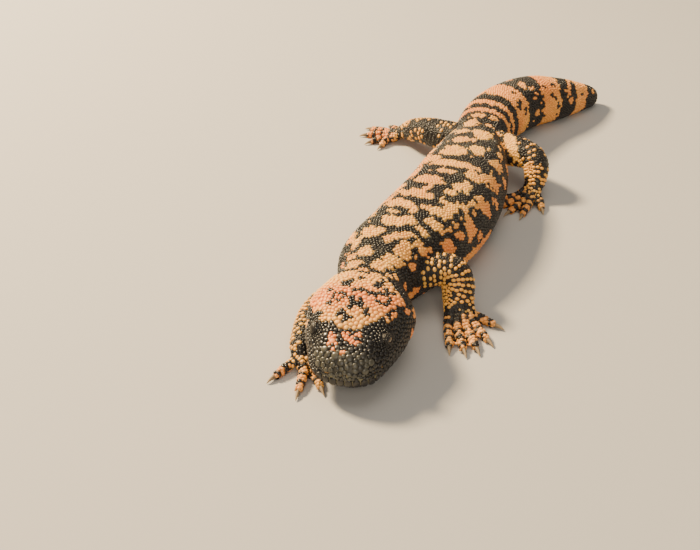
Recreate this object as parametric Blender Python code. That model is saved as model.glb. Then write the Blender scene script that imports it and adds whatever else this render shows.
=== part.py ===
"""Gila monster: a still, life-size model that rests on its belly, tail and four feet, as if it walked over sand.

The body is one long tube along a bent back line, parted by thin cuts into head, neck, trunk and tail.
Each leg is a tube through its joints, and each foot a flattened sole with five toes and five claws.
Lengths below are in millimetres until a mesh is made. The animal faces -Y, and its left side is +X.
"""

import math
from dataclasses import dataclass

import bmesh
import bpy
from mathutils import Matrix, Vector

MM = 0.001
GAP = 0.3

# The middle of the whole animal's outline in plan. It becomes the origin.
BOX_MIDDLE = (-28.052, 62.604)

# Back line in plan, from snout to tail tip: the head turns to its left, and so does the tail.
BACK_LINE = (
    (3.6, -146.3),
    (-3.2, -110.0),
    (-10.5, -78.0),
    (-15.0, -46.0),
    (-9.0, -6.0),
    (-6.0, 34.0),
    (-10.0, 80.0),
    (-19.0, 130.0),
    (-23.0, 172.0),
    (-12.5, 212.0),
    (10.0, 244.0),
    (34.0, 279.0),
)

BODY_SIDES = 28
BODY_SQUARENESS = 2.35
RING_STEP = 7.5


@dataclass(frozen=True)
class Section:
    """One cross-section of the body: its distance behind the snout, and how wide, high and low it is."""

    along: float
    half_width: float
    top: float
    widest: float
    bottom: float


HEAD_HALF_WIDTH = 30.8
NECK_HALF_WIDTH = 21.5
TRUNK_HALF_WIDTH = 34.0
TAIL_HALF_WIDTH = 21.5
SECTIONS = (
    Section(0.0, 16.5, 27.0, 15.0, 9.0),
    Section(10.0, 20.0, 31.0, 16.0, 8.5),
    Section(24.0, 25.6, 36.5, 18.5, 8.0),
    Section(38.0, 29.4, 41.0, 20.5, 8.0),
    Section(50.0, HEAD_HALF_WIDTH, 43.0, 22.0, 8.5),
    Section(60.0, 27.5, 43.0, 22.0, 7.5),
    Section(76.0, NECK_HALF_WIDTH, 42.0, 21.0, 4.5),
    Section(96.0, 27.0, 44.5, 20.0, 0.0),
    Section(120.0, 31.0, 46.5, 19.0, -2.5),
    Section(165.0, TRUNK_HALF_WIDTH, 47.5, 18.5, -3.0),
    Section(215.0, 32.0, 46.5, 18.5, -3.0),
    Section(250.0, 27.0, 43.0, 18.0, -2.5),
    Section(288.0, 20.0, 36.5, 17.0, -2.0),
    Section(335.0, TAIL_HALF_WIDTH, 39.0, 18.0, -2.0),
    Section(375.0, 20.0, 37.5, 17.0, -2.0),
    Section(410.0, 14.5, 29.0, 13.0, -2.0),
    Section(432.0, 9.0, 20.0, 9.0, -1.5),
    Section(448.0, 5.5, 13.0, 6.0, -1.0),
)
SNOUT_ROUNDING = 12.0
SNOUT_BLUNTNESS = 2.5
TAIL_ROUNDING = 9.0

# Where thin cuts part the body tube into nodes, in distance behind the snout.
BODY_NODES = {
    "neck": (66.0, 88.0),
    "chest": (88.0, 135.0),
    "belly": (135.0, 225.0),
    "pelvis": (225.0, 275.0),
    "tail_base": (275.0, 325.0),
    "tail_middle": (325.0, 380.0),
    "tail_tip": (380.0, None),
}
HEAD_END = 66.0


@dataclass(frozen=True)
class Paint:
    """A plain finish: its name, base colour and roughness."""

    name: str
    colour: tuple
    roughness: float


SKIN_PEACH = Paint("skin_peach", (0.80, 0.46, 0.28), 0.5)
SKIN_SALMON = Paint("skin_salmon", (0.78, 0.38, 0.26), 0.45)
SKIN_BLACK = Paint("skin_black", (0.030, 0.026, 0.022), 0.4)
CLAW_HORN = Paint("claw_horn", (0.20, 0.16, 0.11), 0.35)
EYE_DARK = Paint("eye_dark", (0.012, 0.008, 0.006), 0.08)


def clear_scene():
    """Remove every object of the startup scene."""
    for obj in list(bpy.data.objects):
        bpy.data.objects.remove(obj)


def material(paint):
    """A Principled material of one colour, made once for each paint."""
    found = bpy.data.materials.get(paint.name)
    if found:
        return found
    made = bpy.data.materials.new(paint.name)
    made.use_nodes = True
    shader = made.node_tree.nodes["Principled BSDF"]
    shader.inputs["Base Color"].default_value = (*paint.colour, 1.0)
    shader.inputs["Roughness"].default_value = paint.roughness
    return made


def smooth_slopes(knots, values):
    """Slopes at the knots of a curve that passes through the values and never overshoots them."""
    steps = [
        (values[i + 1] - values[i]) / (knots[i + 1] - knots[i])
        for i in range(len(knots) - 1)
    ]
    inner = [0.0 if a * b <= 0 else 2 * a * b / (a + b) for a, b in zip(steps, steps[1:])]
    return [steps[0], *inner, steps[-1]]


def smooth_value(knots, values, at):
    """Value at a place along a smooth curve through the given values."""
    at = min(max(at, knots[0]), knots[-1])
    slopes = smooth_slopes(knots, values)
    i = max(k for k in range(len(knots) - 1) if knots[k] <= at)
    width = knots[i + 1] - knots[i]
    t = (at - knots[i]) / width
    return (
        values[i] * (1 + 2 * t) * (1 - t) ** 2
        + slopes[i] * width * t * (1 - t) ** 2
        + values[i + 1] * t * t * (3 - 2 * t)
        + slopes[i + 1] * width * t * t * (t - 1)
    )


def curve_through(points, per_span=12):
    """Dense points of a Catmull-Rom curve through the given points."""
    ends = [2 * points[0] - points[1], *points, 2 * points[-1] - points[-2]]
    dense = []
    for before, a, b, after in zip(ends, ends[1:], ends[2:], ends[3:]):
        for k in range(per_span):
            t = k / per_span
            dense.append(
                0.5
                * (
                    2 * a
                    + (b - before) * t
                    + (2 * before - 5 * a + 4 * b - after) * t**2
                    + (3 * a - before - 3 * b + after) * t**3
                )
            )
    return [*dense, points[-1]]


class Route:
    """A smooth line through points, read by the distance along it."""

    def __init__(self, points):
        self.dense = curve_through([Vector(p) for p in points])
        self.at = [0.0]
        for a, b in zip(self.dense, self.dense[1:]):
            self.at.append(self.at[-1] + (b - a).length)
        self.length = self.at[-1]

    def point(self, along):
        """Point at a distance along the line."""
        along = min(max(along, 0.0), self.length)
        i = max(k for k in range(len(self.at) - 1) if self.at[k] <= along)
        share = (along - self.at[i]) / (self.at[i + 1] - self.at[i])
        return self.dense[i].lerp(self.dense[i + 1], share)

    def direction(self, along, reach=2.0):
        """Unit direction of travel at a distance along the line."""
        ahead = self.point(min(along + reach, self.length))
        behind = self.point(max(along - reach, 0.0))
        return (ahead - behind).normalized()


BACK = Route([(x, y, 0.0) for x, y in BACK_LINE])


def back_frame(along):
    """Point under the back line, direction to the tail and direction to the animal's left side."""
    tailward = BACK.direction(along, 5.0)
    return BACK.point(along), tailward, Vector((tailward.y, -tailward.x, 0.0))


def body_size(along):
    """Half width, top, widest and bottom heights of the body at a distance behind the snout."""
    knots = [s.along for s in SECTIONS]
    half_width, top, widest, bottom = (
        smooth_value(knots, [getattr(s, name) for s in SECTIONS], along)
        for name in ("half_width", "top", "widest", "bottom")
    )
    share = 1.0
    if along < SNOUT_ROUNDING:
        share = (1 - (1 - along / SNOUT_ROUNDING) ** SNOUT_BLUNTNESS) ** (1 / SNOUT_BLUNTNESS)
    if BACK.length - along < TAIL_ROUNDING:
        share = math.sqrt(max(0.0, 1 - (1 - (BACK.length - along) / TAIL_ROUNDING) ** 2))
    return half_width * share, widest + (top - widest) * share, widest, widest + (bottom - widest) * share


def squared(value, power):
    """Sine or cosine turned into a squarer one, with its sign kept."""
    return math.copysign(abs(value) ** (2 / power), value)


def body_ring(along, grow=0.0):
    """Points round the body at a distance behind the snout, grown outwards by an amount."""
    centre, _, left = back_frame(along)
    half_width, top, widest, bottom = body_size(along)
    ring = []
    for k in range(BODY_SIDES):
        angle = 2 * math.pi * (k + 0.5) / BODY_SIDES
        side = squared(math.cos(angle), BODY_SQUARENESS) * (half_width + grow)
        rise = squared(math.sin(angle), BODY_SQUARENESS)
        height = (top - widest + grow) if rise > 0 else (widest - bottom + grow)
        z = widest + rise * height
        point = centre + left * side
        ring.append(Vector((point.x, point.y, max(z, -grow))))
    return ring


def spread(start, end, step):
    """Even steps from start to end, none longer than the given one."""
    count = max(1, math.ceil((end - start) / step))
    return [start + (end - start) * k / count for k in range(count + 1)]


def ring_places(start, end):
    """Where the body's rings lie between two distances, closer together at the round ends."""
    places = spread(max(start, 12.0), min(end, BACK.length - 8.0), RING_STEP)
    if start < 12.0:
        places = [0.25, 1.2, 3.2, 6.0, 9.0, *places]
    if end > BACK.length - 8.0:
        places += [BACK.length - left for left in (5.0, 2.5, 1.0, 0.2)]
    return places


def to_object(name, mesh_maker, paint=SKIN_PEACH):
    """A new object from a bmesh in millimetres, moved so that the origin is under the animal's middle."""
    mesh_maker.normal_update()
    bmesh.ops.recalc_face_normals(mesh_maker, faces=mesh_maker.faces)
    shift = Matrix.Translation((-BOX_MIDDLE[0], -BOX_MIDDLE[1], 0.0))
    mesh_maker.transform(Matrix.Scale(MM, 4) @ shift)
    mesh = bpy.data.meshes.new(name)
    mesh_maker.to_mesh(mesh)
    mesh_maker.free()
    mesh.materials.append(material(paint))
    mesh.shade_smooth()
    mesh.set_sharp_from_angle(angle=math.radians(50))
    obj = bpy.data.objects.new(name, mesh)
    bpy.context.scene.collection.objects.link(obj)
    return obj


def loft(rings):
    """A closed bmesh through rings of equally many points, with a flat cap at each end."""
    made = bmesh.new()
    loops = [[made.verts.new(p) for p in ring] for ring in rings]
    for a, b in zip(loops, loops[1:]):
        for k in range(len(a)):
            j = (k + 1) % len(a)
            made.faces.new((a[k], a[j], b[j], b[k]))
    made.faces.new(loops[0])
    made.faces.new(loops[-1])
    return made


def body_piece(name, start, end, paint=SKIN_PEACH):
    """One length of the body tube, between two distances behind the snout."""
    end = BACK.length if end is None else end
    return to_object(name, loft([body_ring(at) for at in ring_places(start, end)]), paint)


@dataclass(frozen=True)
class Girth:
    """How thick a limb is at a share of its length: half its width and half its depth."""

    share: float
    half_width: float
    half_depth: float


def tube_rings(route, girths, sides, start, end, step, floor=True, full=None, reach=2.0):
    """Rings of a tube along a route, with its side kept level. Girths are read at shares of its full length."""
    full = full or route.length
    shares = [g.share for g in girths]
    rings = []
    for along in spread(start, end, step):
        share = along / full
        half_width = smooth_value(shares, [g.half_width for g in girths], share)
        half_depth = smooth_value(shares, [g.half_depth for g in girths], share)
        ahead = route.direction(along, reach)
        side = ahead.cross(Vector((0, 0, 1))).normalized()
        over = side.cross(ahead).normalized()
        centre = route.point(along)
        ring = []
        for k in range(sides):
            angle = 2 * math.pi * (k + 0.5) / sides
            point = (
                centre
                + side * half_width * math.cos(angle)
                + over * half_depth * math.sin(angle)
            )
            ring.append(Vector((point.x, point.y, max(point.z, 0.0) if floor else point.z)))
        rings.append(ring)
    return rings


@dataclass(frozen=True)
class Toe:
    """One toe: how far it turns outwards from the foot's heading, its length and its claw's length."""

    turn: float
    length: float
    claw: float


@dataclass(frozen=True)
class Limb:
    """A leg by its joints, and how its foot lies: where it heads, and which side of it is the outer one."""

    upper: str
    lower: str
    foot: str
    root: tuple
    middle: tuple
    ankle: tuple
    heading: float
    outer: float
    toes: tuple
    girths: tuple
    sole_length: float = 13.0
    sole_half_width: float = 9.0


REACHING_ARM_GIRTHS = (
    Girth(0.0, 11.0, 10.5),
    Girth(0.30, 10.5, 10.0),
    Girth(0.55, 10.6, 9.2),
    Girth(0.78, 10.4, 7.6),
    Girth(1.0, 9.6, 5.4),
)
TUCKED_ARM_GIRTHS = (
    Girth(0.0, 9.0, 9.0),
    Girth(0.30, 7.6, 7.8),
    Girth(0.55, 7.2, 7.8),
    Girth(0.78, 6.8, 6.8),
    Girth(1.0, 6.6, 5.2),
)
THIGH_GIRTHS = (
    Girth(0.0, 13.0, 13.0),
    Girth(0.30, 12.0, 11.5),
    Girth(0.55, 10.4, 10.2),
    Girth(0.80, 9.0, 8.6),
    Girth(1.0, 7.0, 5.4),
)

# Toes run from the inner one to the outer one.
LIMBS = (
    Limb(
        "upper_arm_left", "forearm_left", "forefoot_left",
        root=(0.0, -48.0, 22.0), middle=(24.5, -35.0, 24.0), ankle=(34.0, -48.0, 9.5),
        heading=-58.0, outer=1.0, girths=REACHING_ARM_GIRTHS, sole_half_width=11.0,
        toes=(Toe(-9, 18.0, 5.5), Toe(1, 19.0, 6.0), Toe(7, 18.5, 6.0), Toe(22, 14.5, 6.0), Toe(50, 15.0, 6.0)),
    ),
    Limb(
        "upper_arm_right", "forearm_right", "forefoot_right",
        root=(-29.0, -64.0, 17.0), middle=(-40.5, -90.0, 10.5), ankle=(-32.0, -122.5, 8.5),
        heading=-25.0, outer=-1.0, girths=TUCKED_ARM_GIRTHS,
        toes=(Toe(-45, 10.0, 5.0), Toe(-12, 13.5, 5.5), Toe(20, 15.0, 6.0), Toe(50, 16.5, 6.0), Toe(83, 14.5, 5.5)),
    ),
    Limb(
        "thigh_left", "shank_left", "hindfoot_left",
        root=(-8.0, 133.0, 20.0), middle=(26.0, 121.0, 23.0), ankle=(32.5, 106.0, 9.0),
        heading=-110.0, outer=1.0, girths=THIGH_GIRTHS,
        toes=(Toe(-34, 10.0, 5.0), Toe(-17, 14.0, 5.5), Toe(0, 16.0, 5.5), Toe(19, 15.5, 5.5), Toe(48, 12.0, 5.0)),
    ),
    Limb(
        "thigh_right", "shank_right", "hindfoot_right",
        root=(-32.0, 131.0, 20.0), middle=(-62.0, 137.0, 18.5), ankle=(-85.0, 148.0, 8.5),
        heading=-165.0, outer=-1.0, girths=THIGH_GIRTHS,
        toes=(Toe(-68, 10.0, 5.0), Toe(-36, 13.0, 5.5), Toe(-5, 16.0, 5.5), Toe(20, 16.5, 5.5), Toe(48, 14.0, 5.0)),
    ),
)

# Where the toes leave the sole, as shares of its length and of its half width.
TOE_BASES = ((0.86, -0.74), (1.0, -0.30), (1.0, 0.20), (0.86, 0.64), (0.15, 0.78))
LIMB_SIDES = 16
# How far a leg's rings look ahead and back, so that they don't cross inside a bent joint.
BEND = 9.0
TOE_SIDES = 9
CLAW_SIDES = 7


def apply_modifiers(obj):
    """Bake an object's modifiers into its mesh."""
    graph = bpy.context.evaluated_depsgraph_get()
    baked = bpy.data.meshes.new_from_object(obj.evaluated_get(graph))
    obj.modifiers.clear()
    obj.data = baked


def boolean(obj, others, operation, solver="EXACT"):
    """Join other objects to one, or cut them from it, and remove them."""
    group = bpy.data.collections.new("group")
    bpy.context.scene.collection.children.link(group)
    for other in others:
        bpy.context.scene.collection.objects.unlink(other)
        group.objects.link(other)
    step = obj.modifiers.new(operation.lower(), "BOOLEAN")
    step.operation = operation
    step.operand_type = "COLLECTION"
    step.collection = group
    step.solver = solver
    apply_modifiers(obj)
    for other in others:
        bpy.data.objects.remove(other)
    bpy.data.collections.remove(group)
    keep_largest(obj)
    return obj


def islands(mesh_maker):
    """Groups of faces that hang together."""
    left = set(mesh_maker.faces)
    while left:
        stack = [left.pop()]
        group = list(stack)
        while stack:
            for edge in stack.pop().edges:
                for face in edge.link_faces:
                    if face in left:
                        left.remove(face)
                        stack.append(face)
                        group.append(face)
        yield group


def keep_largest(obj):
    """Drop every loose scrap and sealed hollow, and keep the largest closed surface."""
    made = bmesh.new()
    made.from_mesh(obj.data)
    groups = sorted(islands(made), key=lambda g: sum(f.calc_area() for f in g))
    scraps = [face for group in groups[:-1] for face in group]
    bmesh.ops.delete(made, geom=scraps, context="FACES")
    made.to_mesh(obj.data)
    made.free()


def turned(degrees_round_z):
    """Unit vector in plan at an angle from +X."""
    angle = math.radians(degrees_round_z)
    return Vector((math.cos(angle), math.sin(angle), 0.0))


def floor_block():
    """A block under the floor, which cuts soles flat."""
    block = bmesh.new()
    bmesh.ops.create_cube(block, size=1.0)
    block.transform(Matrix.Translation((0, 60, -20)) @ Matrix.Diagonal((600, 700, 40, 1)))
    return to_object("floor_block", block)


def toe_route(limb, toe, base):
    """Line along one toe, from inside the sole to where its claw starts."""
    ahead = turned(limb.heading)
    bearing = turned(limb.heading + limb.outer * toe.turn)
    across = turned(limb.heading + 90.0 * limb.outer)
    ankle = Vector((limb.ankle[0], limb.ankle[1], 0.0))
    middle = ankle + ahead * limb.sole_length * 0.6
    knuckle = ankle + ahead * limb.sole_length * base[0] + across * limb.sole_half_width * base[1]
    return Route(
        [
            knuckle.lerp(middle, 0.5) + Vector((0, 0, 4.0)),
            knuckle + Vector((0, 0, 3.6)),
            knuckle + bearing * toe.length * 0.55 + Vector((0, 0, 2.9)),
            knuckle + bearing * toe.length + Vector((0, 0, 1.9)),
        ]
    )


TOE_GIRTHS = (Girth(0.0, 3.0, 2.8), Girth(0.5, 3.0, 3.1), Girth(0.85, 2.7, 2.8), Girth(1.0, 2.1, 2.1))


def build_toe(name, route):
    """One toe as a closed tube that dips under the floor."""
    rings = tube_rings(route, TOE_GIRTHS, TOE_SIDES, 0.0, route.length, 3.0, floor=False)
    return to_object(name, loft(rings), SKIN_BLACK)


def build_claw(name, route, length):
    """One curved claw, from the end of its toe down to just over the floor."""
    base = route.point(route.length)
    ahead = route.direction(route.length)
    level = Vector((ahead.x, ahead.y, 0.0)).normalized()
    start = base + ahead * GAP
    line = Route(
        [
            start,
            start + ahead * length * 0.35 + Vector((0, 0, 0.15)),
            start + level * length * 0.72 + Vector((0, 0, -0.35)),
            start + level * length + Vector((0, 0, -1.3)),
        ]
    )
    girths = (Girth(0.0, 1.45, 1.7), Girth(0.45, 1.1, 1.25), Girth(0.8, 0.6, 0.65), Girth(1.0, 0.22, 0.22))
    rings = tube_rings(line, girths, CLAW_SIDES, 0.0, line.length, 1.3)
    return to_object(name, loft(rings), CLAW_HORN)


def nearest_along(route, point):
    """Distance along a route at which it passes closest to a point."""
    return min(route.at, key=lambda at: (route.point(at) - Vector(point)).length)


def leg_route(limb):
    """Line through a leg's joints, from inside the body to a little way into the foot."""
    into_foot = Vector(limb.ankle) + turned(limb.heading) * limb.sole_length + Vector((0, 0, -4.0))
    return Route([limb.root, limb.middle, limb.ankle, into_foot])


def sole_rings(limb):
    """Rings of the flattened sole, from the leg's own last ring to past the knuckles."""
    ahead = turned(limb.heading)
    across = turned(limb.heading - 90.0)
    ankle = Vector(limb.ankle)
    route = leg_route(limb)
    wrist = nearest_along(route, limb.ankle)
    rings = tube_rings(route, limb.girths, LIMB_SIDES, wrist, wrist + 0.01, 1.0, full=wrist, reach=BEND)[:1]
    for share, width, depth, height in (
        (0.42, limb.sole_half_width * 0.92, 5.2, 4.9),
        (0.62, limb.sole_half_width, 4.8, 4.3),
        (0.85, limb.sole_half_width, 4.2, 3.7),
        (1.05, limb.sole_half_width * 0.82, 3.4, 3.1),
        (1.15, limb.sole_half_width * 0.5, 2.0, 2.8),
    ):
        centre = ankle + ahead * limb.sole_length * share
        centre.z = height
        ring = []
        for k in range(LIMB_SIDES):
            angle = 2 * math.pi * (k + 0.5) / LIMB_SIDES
            ring.append(centre + across * width * math.cos(angle) + Vector((0, 0, depth * math.sin(angle))))
        rings.append(ring)
    return rings


def build_foot(limb):
    """Sole and toes as one closed body that stands flat on the floor, and its claws."""
    foot = to_object(limb.foot, loft(sole_rings(limb)), SKIN_BLACK)
    routes = [toe_route(limb, toe, base) for toe, base in zip(limb.toes, TOE_BASES)]
    boolean(foot, [build_toe("toe", route) for route in routes], "UNION")
    boolean(foot, [floor_block()], "DIFFERENCE")
    for k, (route, toe) in enumerate(zip(routes, limb.toes)):
        build_claw(f"claw_{limb.foot}_{k + 1}", route, toe.claw)
    return foot


def body_cutter(names):
    """The pieces of the body that a leg meets, grown by the gap: their rings lie at the same places."""
    spans = {"head": (0.0, HEAD_END), **BODY_NODES}
    places = [at for name in names for at in ring_places(spans[name][0] + GAP / 2, spans[name][1] - GAP / 2)]
    return to_object("cutter", loft([body_ring(at, GAP) for at in places]))


def build_limb(limb, neighbours):
    """Upper and lower leg, with the upper one cut to meet the body's side."""
    route = leg_route(limb)
    elbow = nearest_along(route, limb.middle)
    wrist = nearest_along(route, limb.ankle)
    upper_rings = tube_rings(route, limb.girths, LIMB_SIDES, 0.0, elbow - GAP / 2, 4.5, full=wrist, reach=BEND)
    upper = to_object(limb.upper, loft(upper_rings), SKIN_BLACK)
    boolean(upper, [body_cutter(neighbours)], "DIFFERENCE")
    lower_rings = tube_rings(route, limb.girths, LIMB_SIDES, elbow + GAP / 2, wrist - GAP, 4.5, full=wrist, reach=BEND)
    to_object(limb.lower, loft(lower_rings), SKIN_BLACK)


def head_frame():
    """Matrix of the head's own axes: along it to the nape, to its left side, and up, from under the snout."""
    snout, nape = BACK.point(0.0), BACK.point(HEAD_END)
    along = (nape - snout).normalized()
    left = Vector((along.y, -along.x, 0.0))
    frame = Matrix((along, left, (0, 0, 1))).transposed().to_4x4()
    return Matrix.Translation(snout) @ frame


def surface_side(along, height):
    """How far the body's surface lies from its middle at a height over the widest level."""
    half_width, top, widest, _ = body_size(along)
    rise = (height - widest) / (top - widest)
    return half_width * (1 - abs(rise) ** BODY_SQUARENESS) ** (1 / BODY_SQUARENESS)


def on_head(along, side, height, inwards):
    """Point under the head's surface, at a distance behind the snout and a height, on one side."""
    centre, _, left = back_frame(along)
    point = centre + left * side * (surface_side(along, height) - inwards)
    point.z = height
    return point


def ball(name, centre, radii, turn=0.0, rings=10, paint=SKIN_SALMON):
    """An egg-shaped solid with its axes along the head, across it and up."""
    made = bmesh.new()
    bmesh.ops.create_uvsphere(made, u_segments=2 * rings, v_segments=rings, radius=1.0)
    axes = head_frame().to_3x3().to_4x4()
    made.transform(
        Matrix.Translation(centre)
        @ axes
        @ Matrix.Rotation(math.radians(turn), 4, "Y")
        @ Matrix.Diagonal((*radii, 1.0))
    )
    return to_object(name, made, paint)


EYE = {"along": 24.0, "height": 30.0, "inwards": 2.2}
EYE_RADIUS = 3.2
LID_THICKNESS = 1.1
EYE_OPENING = (2.9, 6.0, 2.1)
NOSTRIL = {"along": 2.4, "height": 19.5, "inwards": 0.2}
NOSTRIL_RADII = (1.5, 1.7, 1.2)
EAR = {"along": 57.5, "height": 23.5, "inwards": 0.4}
EAR_RADII = (1.5, 2.2, 4.4)
MOUTH_LINE = ((-6.0, 12.0), (4.0, 12.2), (16.0, 13.0), (30.0, 14.6), (42.0, 18.0))
JAW_BACK = ((50.0, 12.0), (54.0, -6.0), (-6.0, -6.0))


def jaw_prism(name, grow, paint):
    """The room of the lower jaw: everything under the mouth line and ahead of the jaw's corner."""
    corners = [(x + grow, z + grow) for x, z in (*MOUTH_LINE, *JAW_BACK)]
    made = bmesh.new()
    right = [made.verts.new((x, -60.0, z)) for x, z in corners]
    left = [made.verts.new((x, 60.0, z)) for x, z in corners]
    made.faces.new(right)
    made.faces.new(left)
    for k in range(len(corners)):
        j = (k + 1) % len(corners)
        made.faces.new((right[k], right[j], left[j], left[k]))
    made.transform(head_frame())
    return to_object(name, made, paint)


def build_head():
    """Head with lids, eye sockets, nostrils and ear slits, and the lower jaw and eyes as pieces of their own."""
    head = body_piece("head", 0.0, HEAD_END - GAP / 2, paint=SKIN_SALMON)
    jaw = body_piece("lower_jaw", 0.0, HEAD_END - GAP / 2, paint=SKIN_BLACK)
    boolean(jaw, [jaw_prism("room", 0.0, SKIN_BLACK)], "INTERSECT")
    boolean(head, [jaw_prism("room", GAP, SKIN_SALMON)], "DIFFERENCE")
    lid_radii = [EYE_RADIUS + LID_THICKNESS] * 3
    eyes = {name: on_head(side=side, **EYE) for name, side in (("left", 1), ("right", -1))}
    boolean(head, [ball("lid", centre, lid_radii) for centre in eyes.values()], "UNION")
    cutters = []
    for name, side in (("left", 1), ("right", -1)):
        eye = eyes[name]
        outwards = eye + back_frame(EYE["along"])[2] * side * EYE_RADIUS
        cutters.append(ball("socket", eye, [EYE_RADIUS + GAP] * 3))
        cutters.append(ball("opening", outwards, EYE_OPENING))
        cutters.append(ball("nostril", on_head(side=side, **NOSTRIL), NOSTRIL_RADII, rings=5))
        cutters.append(ball("ear", on_head(side=side, **EAR), EAR_RADII, turn=12.0, rings=6))
        ball(f"eye_{name}", eye, [EYE_RADIUS] * 3, rings=8, paint=EYE_DARK)
    boolean(head, cutters, "DIFFERENCE")


def build_body():
    """Neck, trunk and tail."""
    for name, (start, end) in BODY_NODES.items():
        body_piece(name, start + GAP / 2, None if end is None else end - GAP / 2)


def main():
    """Build the whole animal."""
    clear_scene()
    build_body()
    build_head()
    for limb in LIMBS:
        neighbours = ("head", "neck", "chest") if "arm" in limb.upper else ("belly", "pelvis", "tail_base")
        build_limb(limb, neighbours)
        build_foot(limb)


main()
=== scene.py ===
"""Gila monster: one beaded skin with solid beads over it, eyes with lids, and horn claws.

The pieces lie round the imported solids. Lengths are in millimetres until a mesh is made. The animal faces -Y,
and its left side is +X.
"""

import logging
import math
from dataclasses import dataclass, field, fields
from enum import Enum
from itertools import product

import bmesh
import bpy
import numpy as np
from bpy.types import GeometryNodeTree, ID, Material, Mesh, Node, NodeSocket, NodeTree, Object, ShaderNodeTree
from mathutils import Matrix, Vector
from mathutils.bvhtree import BVHTree
from mathutils.kdtree import KDTree


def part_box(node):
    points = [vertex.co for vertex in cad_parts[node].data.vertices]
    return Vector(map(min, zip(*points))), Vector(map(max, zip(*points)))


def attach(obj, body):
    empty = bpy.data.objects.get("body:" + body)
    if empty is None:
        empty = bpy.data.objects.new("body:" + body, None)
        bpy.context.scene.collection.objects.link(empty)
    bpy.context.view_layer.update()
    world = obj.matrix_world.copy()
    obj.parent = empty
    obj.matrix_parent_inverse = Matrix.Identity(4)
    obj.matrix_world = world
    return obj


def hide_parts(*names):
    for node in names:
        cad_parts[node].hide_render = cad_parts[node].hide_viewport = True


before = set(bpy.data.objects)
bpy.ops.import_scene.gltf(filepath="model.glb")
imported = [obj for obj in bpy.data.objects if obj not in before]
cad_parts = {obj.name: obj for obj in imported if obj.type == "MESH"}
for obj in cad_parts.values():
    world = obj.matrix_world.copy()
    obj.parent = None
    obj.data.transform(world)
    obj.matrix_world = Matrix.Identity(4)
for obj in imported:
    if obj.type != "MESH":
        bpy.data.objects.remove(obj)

log = logging.getLogger("gila_monster")
Array = np.ndarray

MM = 0.001
ROOT = "root"
SEED = 7
EYE_NODES = ("eye_left", "eye_right")

# How many points are located on a line at a time.
CHUNK = 8000

# The middle of the solids' outline in plan, in their source's own frame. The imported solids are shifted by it.
BOX_MIDDLE = np.array([-28.052, 62.604, 0.0])

# The line of the back in plan, from the snout to the tip of the tail, in the source's own frame.
BACK_LINE = (
    (3.6, -146.3), (-3.2, -110.0), (-10.5, -78.0), (-15.0, -46.0), (-9.0, -6.0), (-6.0, 34.0),
    (-10.0, 80.0), (-19.0, 130.0), (-23.0, 172.0), (-12.5, 212.0), (10.0, 244.0), (34.0, 279.0),
)


def each(kind: type, *rows: tuple[float, ...]) -> tuple:
    """One record of a kind from each row of its numbers."""
    return tuple(kind(*row) for row in rows)


@dataclass(frozen=True)
class Section:
    """One cross-section of the body, by its distance behind the snout."""

    along: float
    half_width: float
    top: float
    widest: float
    bottom: float


SECTIONS = each(
    Section,
    (0.0, 16.5, 27.0, 15.0, 9.0), (10.0, 20.0, 31.0, 16.0, 8.5), (24.0, 25.6, 36.5, 18.5, 8.0),
    (38.0, 29.4, 41.0, 20.5, 8.0), (50.0, 30.8, 43.0, 22.0, 8.5), (60.0, 27.5, 43.0, 22.0, 7.5),
    (76.0, 21.5, 42.0, 21.0, 4.5), (96.0, 27.0, 44.5, 20.0, 0.0), (120.0, 31.0, 46.5, 19.0, -2.5),
    (165.0, 34.0, 47.5, 18.5, -3.0), (215.0, 32.0, 46.5, 18.5, -3.0), (250.0, 27.0, 43.0, 18.0, -2.5),
    (288.0, 20.0, 36.5, 17.0, -2.0), (335.0, 21.5, 39.0, 18.0, -2.0), (375.0, 20.0, 37.5, 17.0, -2.0),
    (410.0, 14.5, 29.0, 13.0, -2.0), (432.0, 9.0, 20.0, 9.0, -1.5), (448.0, 5.5, 13.0, 6.0, -1.0),
)
# How square a section is: 2 is an oval.
SQUARENESS = 2.35


@dataclass(frozen=True)
class Toe:
    """One toe: its turn outwards from the foot's heading, its length and its claw's length."""

    turn: float
    length: float
    claw: float


@dataclass(frozen=True)
class Limb:
    """A leg by its joints, and how its foot lies."""

    name: str
    nodes: tuple[str, str, str]
    root: tuple[float, float, float]
    middle: tuple[float, float, float]
    ankle: tuple[float, float, float]
    heading: float
    outer: float
    toes: tuple[Toe, ...]
    sole_length: float = 13.0
    sole_half_width: float = 9.0


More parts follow.
